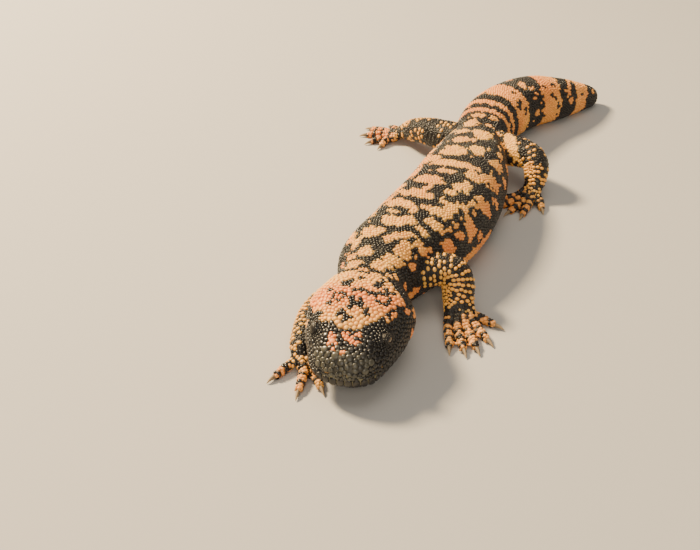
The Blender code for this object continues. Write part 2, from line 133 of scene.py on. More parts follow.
LIMBS = (
    Limb(
        "left_arm", ("upper_arm_left", "forearm_left", "forefoot_left"),
        (0.0, -48.0, 22.0), (24.5, -35.0, 24.0), (34.0, -48.0, 9.5), -58.0, 1.0,
        each(Toe, (-9, 18.0, 5.5), (1, 19.0, 6.0), (7, 18.5, 6.0), (22, 14.5, 6.0), (50, 15.0, 6.0)),
        sole_half_width=11.0,
    ),
    Limb(
        "right_arm", ("upper_arm_right", "forearm_right", "forefoot_right"),
        (-29.0, -64.0, 17.0), (-40.5, -90.0, 10.5), (-32.0, -122.5, 8.5), -25.0, -1.0,
        each(Toe, (-45, 10.0, 5.0), (-12, 13.5, 5.5), (20, 15.0, 6.0), (50, 16.5, 6.0), (83, 14.5, 5.5)),
    ),
    Limb(
        "left_leg", ("thigh_left", "shank_left", "hindfoot_left"),
        (-8.0, 133.0, 20.0), (26.0, 121.0, 23.0), (32.5, 106.0, 9.0), -110.0, 1.0,
        each(Toe, (-34, 10.0, 5.0), (-17, 14.0, 5.5), (0, 16.0, 5.5), (19, 15.5, 5.5), (48, 12.0, 5.0)),
    ),
    Limb(
        "right_leg", ("thigh_right", "shank_right", "hindfoot_right"),
        (-32.0, 131.0, 20.0), (-62.0, 137.0, 18.5), (-85.0, 148.0, 8.5), -165.0, -1.0,
        each(Toe, (-68, 10.0, 5.0), (-36, 13.0, 5.5), (-5, 16.0, 5.5), (20, 16.5, 5.5), (48, 14.0, 5.0)),
    ),
)
# The first two limbs are the arms.
ARMS = 2
# Where each toe's knuckle lies on the sole, in shares of its length and half width.
TOE_BASES = ((0.86, -0.74), (1.0, -0.30), (1.0, 0.20), (0.86, 0.64), (0.15, 0.78))
# Heights of a toe's line over the hand, at the knuckle, in the toe's middle and at its end.
TOE_HEIGHTS = (5.5, 3.6, 2.9, 1.9)
BODY_NODES = ("neck", "chest", "belly", "pelvis", "tail_base", "tail_middle", "tail_tip")
HEAD_NODES = ("head", "lower_jaw")
FLESH = (*HEAD_NODES, *BODY_NODES, *(node for limb in LIMBS for node in limb.nodes))


def unit(rows: Array) -> Array:
    """Rows scaled to length one."""
    return rows / np.maximum(np.linalg.norm(rows, axis=-1, keepdims=True), 1e-9)


def powered(values: Array, power: float) -> Array:
    """Numbers raised to a power, each with its own sign."""
    return np.sign(values) * np.abs(values) ** power


def ramp(values: Array, low: float, high: float) -> Array:
    """Smooth step from 0 at low to 1 at high.

    Args:
        values: Numbers to read.
        low: Where the step starts.
        high: Where it ends; it may lie under low.

    Returns:
        Numbers between 0 and 1.
    """
    share = np.clip((values - low) / (high - low), 0.0, 1.0)
    return share * share * (3 - 2 * share)


def bump(values: Array, centre: float, width: float) -> Array:
    """Bell curve of height one round a centre."""
    return np.exp(-(((values - centre) / width) ** 2))


def broken(values: Array, points: tuple[tuple[float, float], ...]) -> Array:
    """Heights of a broken line through points, at given places."""
    return np.interp(values, *zip(*points))


def lengths_along(points: Array) -> Array:
    """Distance from the first of some points to each, from point to point."""
    return np.concatenate([[0.0], np.cumsum(np.linalg.norm(np.diff(points, axis=0), axis=1))])


def on_path(wanted: Array, lengths: Array, points: Array) -> Array:
    """Points of a path at wanted distances along it."""
    return np.column_stack([np.interp(wanted, lengths, points[:, k]) for k in range(3)])


def middle_of(node: str) -> Array:
    """Middle of a node's box."""
    return np.array(sum(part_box(node), Vector())) / 2 / MM


def noise(spots: Array, size: float, seed: int) -> Array:
    """Smooth value noise between -1 and 1.

    Args:
        spots: Points, one to a row, of two or three numbers.
        size: Size of one wave, in the same unit.
        seed: Which noise.

    Returns:
        One number for each point.
    """
    if spots.shape[1] == 2:
        spots = np.column_stack([spots, np.zeros(len(spots))])
    scaled = spots / size + 100.0
    cell = np.floor(scaled).astype(np.int64)
    part = scaled - cell
    part = part * part * (3 - 2 * part)
    total = np.zeros(len(spots))
    for corner in product((0, 1), repeat=3):
        x, y, z = (cell + corner).T
        mixed = (x * 73856093) ^ (y * 19349663) ^ (z * 83492791) ^ (seed * 2654435761)
        mixed = (mixed ^ (mixed >> 13)) * 1274126177 & 0x7FFFFFFF
        value = (mixed ^ (mixed >> 15)) % 10007 / 5003.0 - 1.0
        share = np.where(corner, part, 1 - part)
        total += share[:, 0] * share[:, 1] * share[:, 2] * value
    return total


class Line:
    """A smooth line through points, read by the distance along it."""

    def __init__(self, points: list) -> None:
        """Make the dense line.

        Args:
            points: Points that the line passes through, in the solids' frame before their shift.
        """
        rows = np.zeros((len(points), 3))
        rows[:, : len(points[0])] = np.array(points, float)
        rows -= BOX_MIDDLE
        ends = np.vstack([2 * rows[0] - rows[1], rows, 2 * rows[-1] - rows[-2]])
        dense = []
        for i in range(len(rows) - 1):
            before, a, b, after = ends[i : i + 4]
            for t in np.arange(12) / 12:
                dense.append(
                    0.5
                    * (
                        2 * a
                        + (b - before) * t
                        + (2 * before - 5 * a + 4 * b - after) * t**2
                        + (3 * a - before - 3 * b + after) * t**3
                    )
                )
        self.points = np.array([*dense, rows[-1]])
        self.at = lengths_along(self.points)
        self.length = float(self.at[-1])

    def point(self, along: Array) -> Array:
        """Points at distances along the line."""
        return on_path(np.atleast_1d(along), self.at, self.points)

    def ahead(self, along: Array, reach: float = 2.0) -> Array:
        """Unit directions of travel at distances along the line."""
        front, rear = np.minimum(along + reach, self.length), np.maximum(along - reach, 0)
        return unit(self.point(front) - self.point(rear))

    def locate(self, spots: Array, flat: bool = False) -> tuple[Array, Array]:
        """Distance along the line of the place on it that is nearest to each spot, and how far off it is.

        Args:
            spots: Points, one to a row.
            flat: Whether heights are left out.

        Returns:
            Distances along the line, and distances from it.
        """
        used = 2 if flat else 3
        starts, ends = self.points[:-1, :used], self.points[1:, :used]
        steps = ends - starts
        square = np.maximum((steps**2).sum(1), 1e-9)
        along = np.empty(len(spots))
        off = np.empty(len(spots))
        for low in range(0, len(spots), CHUNK):
            chunk = spots[low : low + CHUNK, None, :used] - starts[None]
            share = np.clip((chunk * steps).sum(2) / square, 0, 1)
            away = np.linalg.norm(chunk - share[..., None] * steps, axis=2)
            best = away.argmin(1)
            rows = np.arange(len(best))
            along[low : low + CHUNK] = self.at[best] + share[rows, best] * np.sqrt(square[best])
            off[low : low + CHUNK] = away[rows, best]
        return along, off


def bearing(degrees: float) -> Array:
    """Unit vector in plan at an angle from +X."""
    return np.array([math.cos(math.radians(degrees)), math.sin(math.radians(degrees)), 0.0])


def leg_line(limb: Limb) -> Line:
    """Line through a leg's joints and a little way into its foot."""
    into_foot = np.array(limb.ankle) + bearing(limb.heading) * limb.sole_length + (0, 0, -4.0)
    return Line([limb.root, limb.middle, limb.ankle, tuple(into_foot)])


def toe_line(limb: Limb, toe: Toe, base: tuple[float, float]) -> Line:
    """Line over the hand and along one toe.

    Args:
        limb: The toe's leg.
        toe: The toe.
        base: Where its knuckle lies, in shares of the sole's length and half width.

    Returns:
        The line, from the ankle to where the claw starts.
    """
    ahead = bearing(limb.heading)
    onwards = bearing(limb.heading + limb.outer * toe.turn)
    across = bearing(limb.heading + 90.0 * limb.outer)
    ankle = np.array([limb.ankle[0], limb.ankle[1], 0.0])
    start = ankle + across * limb.sole_half_width * 0.55 * base[1]
    knuckle = ankle + ahead * limb.sole_length * base[0] + across * limb.sole_half_width * base[1]
    plan = (start, knuckle, knuckle + onwards * toe.length * 0.55, knuckle + onwards * toe.length)
    return Line([tuple(spot + (0, 0, height)) for spot, height in zip(plan, TOE_HEIGHTS)])


class Region(Enum):
    """Which part of the animal a spot lies on."""

    HEAD = 0
    BODY = 1
    LEG = 2
    FOOT = 3


def part_of(node: str) -> tuple[Region, int]:
    """Which part of the animal a node of flesh makes.

    Args:
        node: Name of the node.

    Returns:
        Its region, and its leg's number in LIMBS, or -1.
    """
    for number, limb in enumerate(LIMBS):
        if node in limb.nodes:
            return (Region.FOOT if "foot" in node else Region.LEG), number
    return (Region.HEAD if node in HEAD_NODES else Region.BODY), -1


@dataclass
class Place:
    """Where spots lie on the animal, one number of each kind to a spot."""

    spots: Array
    region: Array
    limb: Array
    along: Array
    side: Array
    turn: Array
    leg_along: Array
    inner: Array
    toe_along: Array
    toe: Array
    groove: Array

    def on(self, region: Region) -> Array:
        """Which spots lie on a part."""
        return self.region == region.value


class BodyMap:
    """Reads a spot's place: how far behind the snout and round from the spine it is, and on which part."""

    def __init__(self) -> None:
        """Make the lines of the back, legs and toes, and a tree of the solids' faces."""
        self.back = Line(list(BACK_LINE))
        self.legs = [leg_line(limb) for limb in LIMBS]
        self.toes = [
            [toe_line(limb, toe, base) for toe, base in zip(limb.toes, TOE_BASES)] for limb in LIMBS
        ]
        self.table = np.array([(s.along, s.half_width, s.top, s.widest, s.bottom) for s in SECTIONS])
        corners: list = []
        faces: list = []
        owners: list[tuple[int, int]] = []
        for name in FLESH:
            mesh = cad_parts[name].data
            start = len(corners)
            corners += [v.co / MM for v in mesh.vertices]
            faces += [[start + i for i in p.vertices] for p in mesh.polygons]
            region, limb = part_of(name)
            owners += [(region.value, limb)] * len(mesh.polygons)
        self.owners = np.array(owners)
        self.solids = BVHTree.FromPolygons(corners, faces)

    @property
    def toe_lines(self) -> list[Line]:
        """Lines of all toes."""
        return [line for lines in self.toes for line in lines]

    def size(self, along: Array) -> tuple[Array, ...]:
        """Half width, top, widest and bottom heights of the body at distances behind the snout."""
        return tuple(np.interp(along, self.table[:, 0], self.table[:, k]) for k in (1, 2, 3, 4))

    def left(self, along: Array) -> Array:
        """Unit directions to the animal's left side."""
        ahead = self.back.ahead(along, 5.0)
        return np.column_stack([ahead[:, 1], -ahead[:, 0], np.zeros(len(ahead))])

    def section(self, along: float) -> tuple[Array, Array, list[float]]:
        """Point on the back's line, way to the left side, and the four sizes of the body at one distance."""
        sizes = [float(size[0]) for size in self.size(np.array([along]))]
        return self.back.point(along)[0], self.left(np.array([along]))[0], sizes

    def ring(self, along: float, pitch: float) -> Array:
        """Points round the body, on its section's own curve.

        Args:
            along: Distance behind the snout.
            pitch: About how far they are apart.

        Returns:
            The points, one to a row.
        """
        centre, left, (half_width, top, widest, bottom) = self.section(along)
        angle = np.linspace(0, 2 * math.pi, 241)
        side = powered(np.sin(angle), 2 / SQUARENESS) * half_width
        rise = powered(np.cos(angle), 2 / SQUARENESS)
        height = np.maximum(widest + rise * np.where(rise > 0, top - widest, widest - bottom), 0.0)
        at = np.concatenate([[0.0], np.cumsum(np.hypot(np.diff(side), np.diff(height)))])
        count = max(6, round(at[-1] / pitch))
        wanted = (np.arange(count) + 0.5) * at[-1] / count
        spots = centre + left * np.interp(wanted, at, side)[:, None]
        spots[:, 2] = np.interp(wanted, at, height)
        return spots

    def place(self, spots: Array) -> Place:
        """Read where spots lie.

        Args:
            spots: Points on or near the skin.

        Returns:
            Their places.
        """
        along, _ = self.back.locate(spots, flat=True)
        side = ((spots - self.back.point(along))[:, :2] * self.left(along)[:, :2]).sum(1)
        half_width, top, widest, bottom = self.size(along)
        rise = spots[:, 2] - widest
        rise = np.where(rise > 0, rise / (top - widest), rise / (widest - bottom))
        power = SQUARENESS / 2
        turn = np.arctan2(np.abs(side / half_width) ** power, powered(rise, power)) * 2 / math.pi
        region, limb = self.owners[[self.solids.find_nearest(Vector(spot))[2] for spot in spots]].T
        leg_along, inner, groove = np.zeros((3, len(spots)))
        toe_along = np.full(len(spots), -1.0)
        toe_number = np.full(len(spots), -1)
        for k, leg in enumerate(self.legs):
            mine = limb == k
            if not mine.any():
                continue
            leg_along[mine], _ = leg.locate(spots[mine])
            middle = leg.point(leg_along[mine])
            bodywards = unit((self.back.point(along[mine]) - middle) * (1, 1, 0))
            inner[mine] = (unit(spots[mine] - middle) * bodywards).sum(1)
            feet = np.flatnonzero(mine & (region == Region.FOOT.value))
            best = np.full(len(feet), 1e9)
            second = np.full(len(feet), 1e9)
            for number, line in enumerate(self.toes[k]):
                at, off = line.locate(spots[feet], flat=True)
                closer = off < best
                second = np.where(closer, best, np.minimum(second, off))
                best[closer] = off[closer]
                toe_along[feet[closer]] = at[closer]
                toe_number[feet[closer]] = number
            groove[feet] = bump(second - best, 0.0, 1.1)
        turn = turn * np.sign(side)
        return Place(
            spots, region, limb, along, side, turn, leg_along, inner, toe_along, toe_number, groove
        )


@dataclass(frozen=True)
class Head:
    """The head's own straight axes, the line of its mouth, and how far back it runs."""

    length: float = 66.0
    mouth: tuple[tuple[float, float], ...] = (
        (-6.0, 12.0), (4.0, 12.2), (16.0, 13.0), (30.0, 14.6), (42.0, 18.0),
    )
    mouth_end: float = 41.0

    def axes(self, body: BodyMap) -> tuple[Array, Array, Array]:
        """Point under the snout, direction to the nape and direction to the left side."""
        snout, nape = body.back.point(np.array([0.0, self.length]))
        along = unit(nape - snout)
        return snout, along, np.array([along[1], -along[0], 0.0])

    def read(self, body: BodyMap, spots: Array) -> tuple[Array, Array]:
        """Distance behind the snout along the head's axis, and distance to its left side."""
        snout, along, left = self.axes(body)
        return (spots - snout) @ along, (spots - snout) @ left

    def mouth_height(self, along: Array) -> Array:
        """Height of the mouth line at distances behind the snout."""
        return broken(along, self.mouth)


HEAD = Head()


@dataclass(frozen=True)
class Blotch:
    """An oval mark: its middle, its half sizes, and how far it leans along the body to a unit of turn."""

    along: float
    turn: float
    half_along: float
    half_turn: float
    lean: float = 0.0


PALE_BLOTCHES = each(
    Blotch,
    (67, -0.07, 3.5, 0.08), (74, -0.30, 5, 0.20), (82, -0.37, 3, 0.10), (86, -0.12, 4.2, 0.14),
    (76, 0.14, 4.8, 0.18, 6), (67, 0.29, 3.5, 0.06), (72, 0.43, 3.2, 0.05), (83.5, 0.30, 3.7, 0.22),
    (93, -0.38, 5, 0.12), (103, -0.20, 5.2, 0.17), (105, 0.12, 4.5, 0.16, 45), (95, 0.32, 6.5, 0.18, -6),
    (101, 0.31, 4, 0.09), (117, -0.06, 5, 0.17), (122, 0.06, 5, 0.08), (126, -0.18, 2, 0.10),
    (137, -0.22, 5.2, 0.20), (108, 0.52, 4.6, 0.15), (114.5, 0.60, 3, 0.05), (98.5, 0.54, 2, 0.03),
    (90, 0.63, 2.2, 0.08), (120.5, 0.31, 2.6, 0.10), (131, 0.34, 4.5, 0.16), (141, 0.24, 4, 0.18, 8),
    (147, 0.33, 3, 0.09), (152, -0.15, 4.6, 0.24), (160, -0.06, 9, 0.04), (133, 0.02, 3.5, 0.03),
    (152, 0.32, 3, 0.16), (157.5, 0.42, 2.8, 0.11), (152.5, 0.68, 5, 0.19), (131.5, 0.74, 4.6, 0.12, 12),
    (142, 0.70, 2.5, 0.09, 20), (136, 0.52, 2, 0.04), (142.5, 0.55, 2, 0.03), (155, 0.13, 2, 0.03),
    (164.5, 0.16, 3.5, 0.07), (172, -0.15, 6.5, 0.17), (174, 0.23, 6.5, 0.12), (163, 0.59, 2.4, 0.05),
    (165, 0.47, 1.8, 0.03), (174, 0.63, 5, 0.21, 8), (160, 0.93, 3, 0.07), (186, -0.05, 3.2, 0.09),
    (199, -0.13, 5, 0.19), (199, 0.10, 4.2, 0.13), (190, 0.26, 5.4, 0.14), (200, 0.27, 2.6, 0.07),
    (198, 0.53, 6, 0.19, 8), (213, 0.11, 2.2, 0.03), (225, 0.15, 8, 0.10, -22), (232, 0.28, 3, 0.03),
    (206, 0.47, 2, 0.03), (219, 0.52, 7, 0.13, 12), (236, 0.54, 5, 0.07, 14), (219, -0.12, 8, 0.15),
    (239, -0.12, 6, 0.12), (256, 0.16, 11, 0.16), (240, 0.04, 4, 0.03), (259, -0.18, 5.5, 0.12),
    (246, 0.50, 3, 0.05), (281, -0.14, 9, 0.15), (283, 0.22, 4, 0.10), (295, -0.08, 3, 0.14),
    (296, 0.25, 2.6, 0.13), (215, 0.80, 4, 0.09), (190, 0.82, 3.2, 0.10), (236, 0.82, 3.6, 0.10),
    (262, 0.66, 5, 0.10), (277, 0.52, 4, 0.09), (70, 0.80, 6, 0.17), (116, 0.86, 3, 0.08),
    (206, -0.30, 5, 0.12),
)

DARK_HEAD_MARKS = each(
    Blotch,
    (54, -0.21, 1.8, 0.038), (54.5, -0.13, 2.0, 0.042), (50.6, -0.16, 1.1, 0.05), (58.5, -0.02, 1.4, 0.03),
    (65, -0.04, 1.2, 0.07), (47.3, -0.05, 1.2, 0.05), (48.4, 0.02, 1.0, 0.04), (47, 0.09, 1.4, 0.035),
    (55, 0.17, 2.3, 0.048), (52.5, 0.13, 1.3, 0.035), (52, 0.245, 1.3, 0.04), (51, 0.36, 1.3, 0.06),
    (47.5, -0.36, 1.3, 0.055), (41, -0.055, 1.3, 0.028), (38, -0.035, 1.8, 0.026),
    (35.3, -0.06, 1.2, 0.04), (32.6, -0.13, 1.5, 0.032), (30, -0.185, 2.0, 0.026), (41, 0.02, 1.1, 0.024),
    (38, 0.035, 1.9, 0.034), (35.8, 0.03, 1.2, 0.024), (33, 0.12, 3.4, 0.026), (37.5, -0.33, 1.7, 0.026),
    (28.8, -0.05, 1.2, 0.06), (27.6, -0.095, 1.2, 0.024), (31.5, -0.50, 2.2, 0.06), (60, 0.20, 1.2, 0.03),
    (44, 0.47, 1.1, 0.03),
)
DARK_HEAD_RINGS = each(
    Blotch,
    (42.0, -0.22, 2.9, 0.075), (44.8, 0.245, 4.0, 0.090),
)

PALE_HEAD_MARKS = each(
    Blotch,
    (18, -0.26, 1.9, 0.040), (16.5, -0.18, 1.6, 0.036), (13.5, -0.24, 1.5, 0.034),
    (13.5, -0.16, 1.2, 0.028), (18.6, -0.13, 1.1, 0.024), (18.6, -0.04, 1.7, 0.044),
    (16.6, 0.02, 1.6, 0.036), (15.4, 0.08, 1.6, 0.036), (15.4, 0.13, 1.6, 0.036), (20, 0.13, 1.5, 0.032),
    (9.5, -0.19, 1.0, 0.022), (9.2, -0.01, 1.0, 0.022), (34, 0.39, 1.6, 0.036), (37, 0.47, 1.9, 0.042),
    (46, 0.68, 1.7, 0.05), (33, -0.88, 1.8, 0.05), (52, 0.86, 2.6, 0.08), (43, 1.02, 2.0, 0.07),
)

CAP_FRONT = (
    (-0.95, 60.0), (-0.82, 48.0), (-0.72, 41.0), (-0.64, 36.5), (-0.53, 33.5), (-0.47, 27.5),
    (-0.38, 26.0), (-0.25, 25.2), (-0.22, 23.0), (0.08, 22.4), (0.14, 21.6), (0.17, 25.0), (0.24, 28.5),
    (0.30, 32.5), (0.37, 38.0), (0.46, 43.0), (0.62, 46.5), (0.70, 60.0),
)
CAP_REAR = (
    (-0.95, 60.0), (-0.5, 67.0), (-0.1, 67.5), (0.1, 67.0), (0.22, 64.0), (0.30, 61.0), (0.40, 55.5),
    (0.46, 52.0), (0.55, 50.0), (0.70, 47.0),
)

TAIL_BANDS = each(
    Blotch,
    (304.0, 0.0, 3.0, 3.0, 1.0), (316.5, 0.0, 3.1, 3.0, 1.0), (339.0, 0.0, 9.6, 3.0, 0.0),
    (387.5, 0.0, 10.6, 3.0, -4.0), (411.5, 0.0, 2.0, 0.85, -15.0), (423.0, 0.0, 7.4, 3.0, -5.0),
)
TAIL_PALE_SPOTS = each(
    Blotch,
    (360, 0.10, 3.4, 0.12, -12), (364.5, 0.31, 3, 0.07), (366, 0.51, 2.2, 0.04), (361, 0.62, 2.8, 0.06),
    (374, 0.53, 2, 0.04), (369, 0.77, 1.8, 0.04), (363, 0.97, 4, 0.07), (373, 0.98, 2, 0.04),
    (404.5, 0.84, 3, 0.11), (403, 0.60, 1.6, 0.06), (361, -0.30, 3, 0.10), (368, -0.58, 3, 0.10),
    (359, -0.85, 3, 0.09), (406, -0.9, 3, 0.10), (435, 0.5, 1.8, 0.2),
)
TAIL_DARK_SPOTS = each(
    Blotch,
    (342, 0.20, 2.0, 0.06), (338.5, 0.50, 3, 0.08), (335.5, 0.64, 2.6, 0.06), (344, 0.76, 2.2, 0.06),
    (389, 0.28, 2.4, 0.07), (385, 0.62, 2.4, 0.08), (388.5, 0.74, 2, 0.06), (391, 0.92, 2, 0.08),
    (420, 0.66, 2, 0.07), (341, -0.45, 2.6, 0.08), (386, -0.5, 2.4, 0.09), (336, -0.9, 2.6, 0.1),
)


@dataclass
class Pattern:
    """The pattern's numbers at some places: how pale, which tone, and how bright."""

    light: Array
    tone: Array
    shade: Array


@dataclass
class Markings:
    """The skin's pattern: pale blotches in a black net, bands on the tail, and bars over the toes."""

    edge: float = 0.30
    mirror_from: float = -0.42
    mirror_shift: float = 9.0
    tail_from: float = 299.0
    cap_to: float = 66.0
    belly_from: float = 1.02
    dark_edge: float = -0.22
    pale_edge: float = -0.25
    lone_pale: float = 0.74
    lone_dark: float = -0.80
    fold_start: tuple[float, float, float] = (31.0, 69.0, 33.0)
    fold_end: tuple[float, float, float] = (45.0, 51.5, 23.0)
    fold_half_width: float = 2.4
    fold_swell: float = 2.8
    knee_middle: tuple[float, float, float] = (56.0, 46.0, 21.0)
    knee_radius: float = 5.0
    toe_bar_step: float = 6.3

    @staticmethod
    def inside(along: Array, turn: Array, marks: tuple[Blotch, ...]) -> Array:
        """How far inside the nearest of some marks places lie.

        Args:
            along: Distances behind the snout.
            turn: Turns round from the spine.
            marks: The marks.

        Returns:
            One at a mark's middle, zero on its edge, and less outside.
        """
        best = np.full(len(along), -9.0)
        for mark in marks:
            across = (turn - mark.turn) / mark.half_turn
            off = np.hypot((along - mark.along - mark.lean * (turn - mark.turn)) / mark.half_along, across)
            best = np.maximum(best, 1.0 - off)
        return best

    def trunk(self, place: Place, wobble: Array) -> Array:
        """Whether places on the trunk are pale. The side away from the photograph mirrors the near side.

        Args:
            place: The places.
            wobble: How the blotches' edges wander.

        Returns:
            True where pale.
        """
        near = self.inside(place.along, place.turn, PALE_BLOTCHES)
        far = self.inside(place.along + self.mirror_shift, -place.turn, PALE_BLOTCHES)
        field = np.where(place.turn < self.mirror_from, far, near)
        field = field + 0.35 * ramp(place.turn, -0.18, -0.5) * ramp(place.along, 130, 160)
        loose = 0.55 * ramp(np.abs(place.turn), 0.35, 0.6) * noise(place.spots, 2.3, seed=14)
        field = field + np.where(field > -0.6, loose, 0.0)
        wave = np.column_stack([place.along, place.turn * 45.0])
        belly = 0.9 * noise(wave, 17.0, seed=12) + 0.35 * noise(wave, 8.0, seed=13) - 0.12
        field = np.where(np.abs(place.turn) > self.belly_from, belly, field)
        return field + self.edge * wobble > 0

    def tail(self, place: Place, wobble: Array) -> Array:
        """Whether places on the tail are pale.

        Args:
            place: The places.
            wobble: How the bands' edges wander.

        Returns:
            True where pale.
        """
        bands = self.inside(place.along, place.turn, TAIL_BANDS)
        spots = self.inside(place.along, place.turn, TAIL_PALE_SPOTS)
        dark = self.inside(place.along, place.turn, TAIL_DARK_SPOTS)
        pale = (bands + 0.16 * wobble > 0) | (spots + 0.2 * wobble > 0)
        return pale & (dark < 0)

    def head(self, place: Place) -> Array:
        """Whether places on the head are pale.

        Args:
            place: The places.

        Returns:
            True on the cap outside its dark marks, and on the small pale marks round it.
        """
        cap = (place.along > broken(place.turn, CAP_FRONT)) & (place.along < broken(place.turn, CAP_REAR))
        dark = self.dark_marks(place) > self.dark_edge
        return (cap & ~dark) | (self.inside(place.along, place.turn, PALE_HEAD_MARKS) > self.pale_edge)

    @classmethod
    def dark_marks(cls, place: Place) -> Array:
        """How far inside the cap's dark marks and rings places lie."""
        ring = cls.inside(place.along, place.turn, DARK_HEAD_RINGS)
        return np.maximum(cls.inside(place.along, place.turn, DARK_HEAD_MARKS), np.minimum(ring, 0.2 - ring))

    def fold(self, spots: Array) -> Array:
        """Which spots lie on the bare pale fold that joins the left flank to the thigh.

        Args:
            spots: Points, one to a row.

        Returns:
            True on the fold.
        """
        start, step = np.array(self.fold_start), np.subtract(self.fold_end, self.fold_start)
        share = np.clip((spots - start) @ step / (step @ step), 0, 1)
        off = np.linalg.norm(spots - start - share[:, None] * step, axis=1)
        swell = self.fold_swell * np.sin(math.pi * share)
        return off < self.fold_half_width + swell + 0.5 * noise(spots, 2.5, seed=28)

    def knee(self, spots: Array) -> Array:
        """How far spots are from the pale patch on the bent left knee."""
        return np.linalg.norm(spots - np.array(self.knee_middle), axis=1)

    def clumps(self, place: Place) -> Array:
        """How much the beads of the legs are pale: all on the arms, in loose clumps on the hind legs."""
        hind = 0.08 + noise(place.spots, 5.0, seed=26) + 0.9 * bump(self.knee(place.spots), 0.0, 7.0)
        return np.where(place.limb < ARMS, 1.0, hind)

    def read(self, place: Place) -> Pattern:
        """Read the pattern at places on the skin.

        Args:
            place: The places.

        Returns:
            How pale each is from 0 to 1, its tone as a place among the TONES, and how bright a dark spot or a
            pale spot is from 0 to 1.
        """
        spots, turn = place.spots, np.abs(place.turn)
        wobble = noise(spots, 4.2, seed=3) + 0.5 * noise(spots, 2.3, seed=4)
        on_tail = place.along > self.tail_from
        on_cap = place.on(Region.HEAD) | (place.along < self.cap_to)
        light = np.where(on_tail, self.tail(place, wobble), self.trunk(place, wobble))
        light = np.where(on_cap, self.head(place), light).astype(float)
        lone = noise(spots, 2.6, seed=21)
        flank = place.on(Region.BODY) & (turn > 0.2)
        light = np.where(flank & (light < 0.5) & (lone > self.lone_pale), 1.0, light)
        light = np.where(flank & (light > 0.5) & (lone < self.lone_dark), 0.0, light)
        drift = noise(spots, 16.0, seed=22)
        tone = 0.46 + 0.10 * drift - 0.22 * ramp(turn, 0.35, 0.75)
        tone = np.where(on_tail, 0.34 + 0.10 * drift, tone)
        crown = 0.46 - 0.34 * bump(place.along, 44.0, 9.0) + 0.06 * drift
        tone = np.where(on_cap, np.where(place.along < 22, 0.12, crown), tone)
        shade = 0.5 + 0.30 * drift + 0.15 * noise(spots, 5.0, seed=23)
        snout = place.on(Region.HEAD) * ramp(place.along, 14.0, 7.0) * ramp(turn, 0.95, 0.5)
        shade = shade * (1 - 0.35 * on_cap) + 0.9 * snout
        pattern = Pattern(light, tone, shade)
        self.limbs(place, drift, pattern)
        fold = self.fold(spots)
        pattern.light[fold], pattern.tone[fold], pattern.shade[fold] = 1.0, 0.52, 0.75
        pattern.shade = np.clip(pattern.shade, 0, 1)
        return pattern

    def limbs(self, place: Place, drift: Array, pattern: Pattern) -> None:
        """Set the pattern of the limbs: speckled arms, the knee's patch, and bars over the toes.

        Args:
            place: The places.
            drift: How the tone wanders over the animal.
            pattern: The pattern so far, changed in place.
        """
        leg, foot = place.on(Region.LEG), place.on(Region.FOOT)
        fine = noise(place.spots, 2.6, seed=25)
        speckled = leg & (place.limb < ARMS) & (place.inner + 0.45 * fine > 0.56)
        pattern.light[leg] = (speckled | (self.knee(place.spots) + 4.0 * fine < self.knee_radius))[leg]
        pattern.tone[leg | foot] = 0.60 + 0.10 * drift[leg | foot]
        back = ramp(place.toe_along, 10.0, 7.0)
        bars = (1 - 0.85 * back) * np.cos(2 * math.pi * (place.toe_along - 1.0) / self.toe_bar_step)
        bars = bars + 0.45 * noise(place.spots, 3.0, seed=24)
        bars = bars + back * (1.3 * noise(place.spots, 2.0, seed=27) - 0.3)
        apart = (place.groove < 0.45) | (place.toe_along < 6.0)
        pattern.light[foot] = ((bars > -0.25) & apart)[foot]
        pattern.tone[foot] -= 0.28 * ramp(place.toe_along, 2.0, 9.0)[foot]
        pattern.shade[leg | foot] *= 0.9


def join_faces(shapes: list[tuple[Array, list]]) -> tuple[Array, list]:
    """Join several shapes.

    Args:
        shapes: Corners and faces of each.

    Returns:
        Corners and faces of all, as one list of each.
    """
    faces: list = []
    start = 0
    for corners, its_faces in shapes:
        faces += [[start + i for i in face] for face in its_faces]
        start += len(corners)
    return np.vstack([corners for corners, _ in shapes]), faces


def ring_quads(rings: int, sides: int) -> list[tuple[int, ...]]:
    """Four-sided faces between rings of corners.

    Args:
        rings: How many rings there are.
        sides: How many corners each has.

    Returns:
        Corner numbers of each face.
    """
    faces = []
    for start in range(0, (rings - 1) * sides, sides):
        for k in range(sides):
            j = (k + 1) % sides
            faces.append((start + k, start + j, start + sides + j, start + sides + k))
    return faces


def in_scene(name: str, data: ID) -> Object:
    """A new object in the scene.

    Args:
        name: Its name.
        data: Its mesh, light or camera.

    Returns:
        The object, at the origin.
    """
    obj = bpy.data.objects.new(name, data)
    bpy.context.scene.collection.objects.link(obj)
    return obj


def mesh_object(name: str, corners: Array, faces: list) -> Object:
    """A new mesh object in the scene.

    Args:
        name: Name of the object.
        corners: Corners in millimetres, one to a row.
        faces: Corner numbers of each face.

    Returns:
        The object, at the origin.
    """
    mesh = bpy.data.meshes.new(name)
    mesh.from_pydata((np.asarray(corners) * MM).tolist(), [], faces)
    mesh.update()
    return in_scene(name, mesh)


def plain_mesh(obj: Object) -> Mesh:
    """The object's mesh with its modifiers applied."""
    graph = bpy.context.evaluated_depsgraph_get()
    return bpy.data.meshes.new_from_object(obj.evaluated_get(graph))


def numbers(mesh: Mesh, name: str, values: Array) -> None:
    """Store one number to a corner of a mesh as an attribute."""
    made = mesh.attributes.new(name, "FLOAT", "POINT")
    made.data.foreach_set("value", np.asarray(values, np.float32))


def vectors(mesh: Mesh, name: str, values: Array) -> None:
    """Store three numbers to a corner of a mesh as an attribute."""
    made = mesh.attributes.new(name, "FLOAT_VECTOR", "POINT")
    made.data.foreach_set("vector", values.astype(np.float32).ravel())


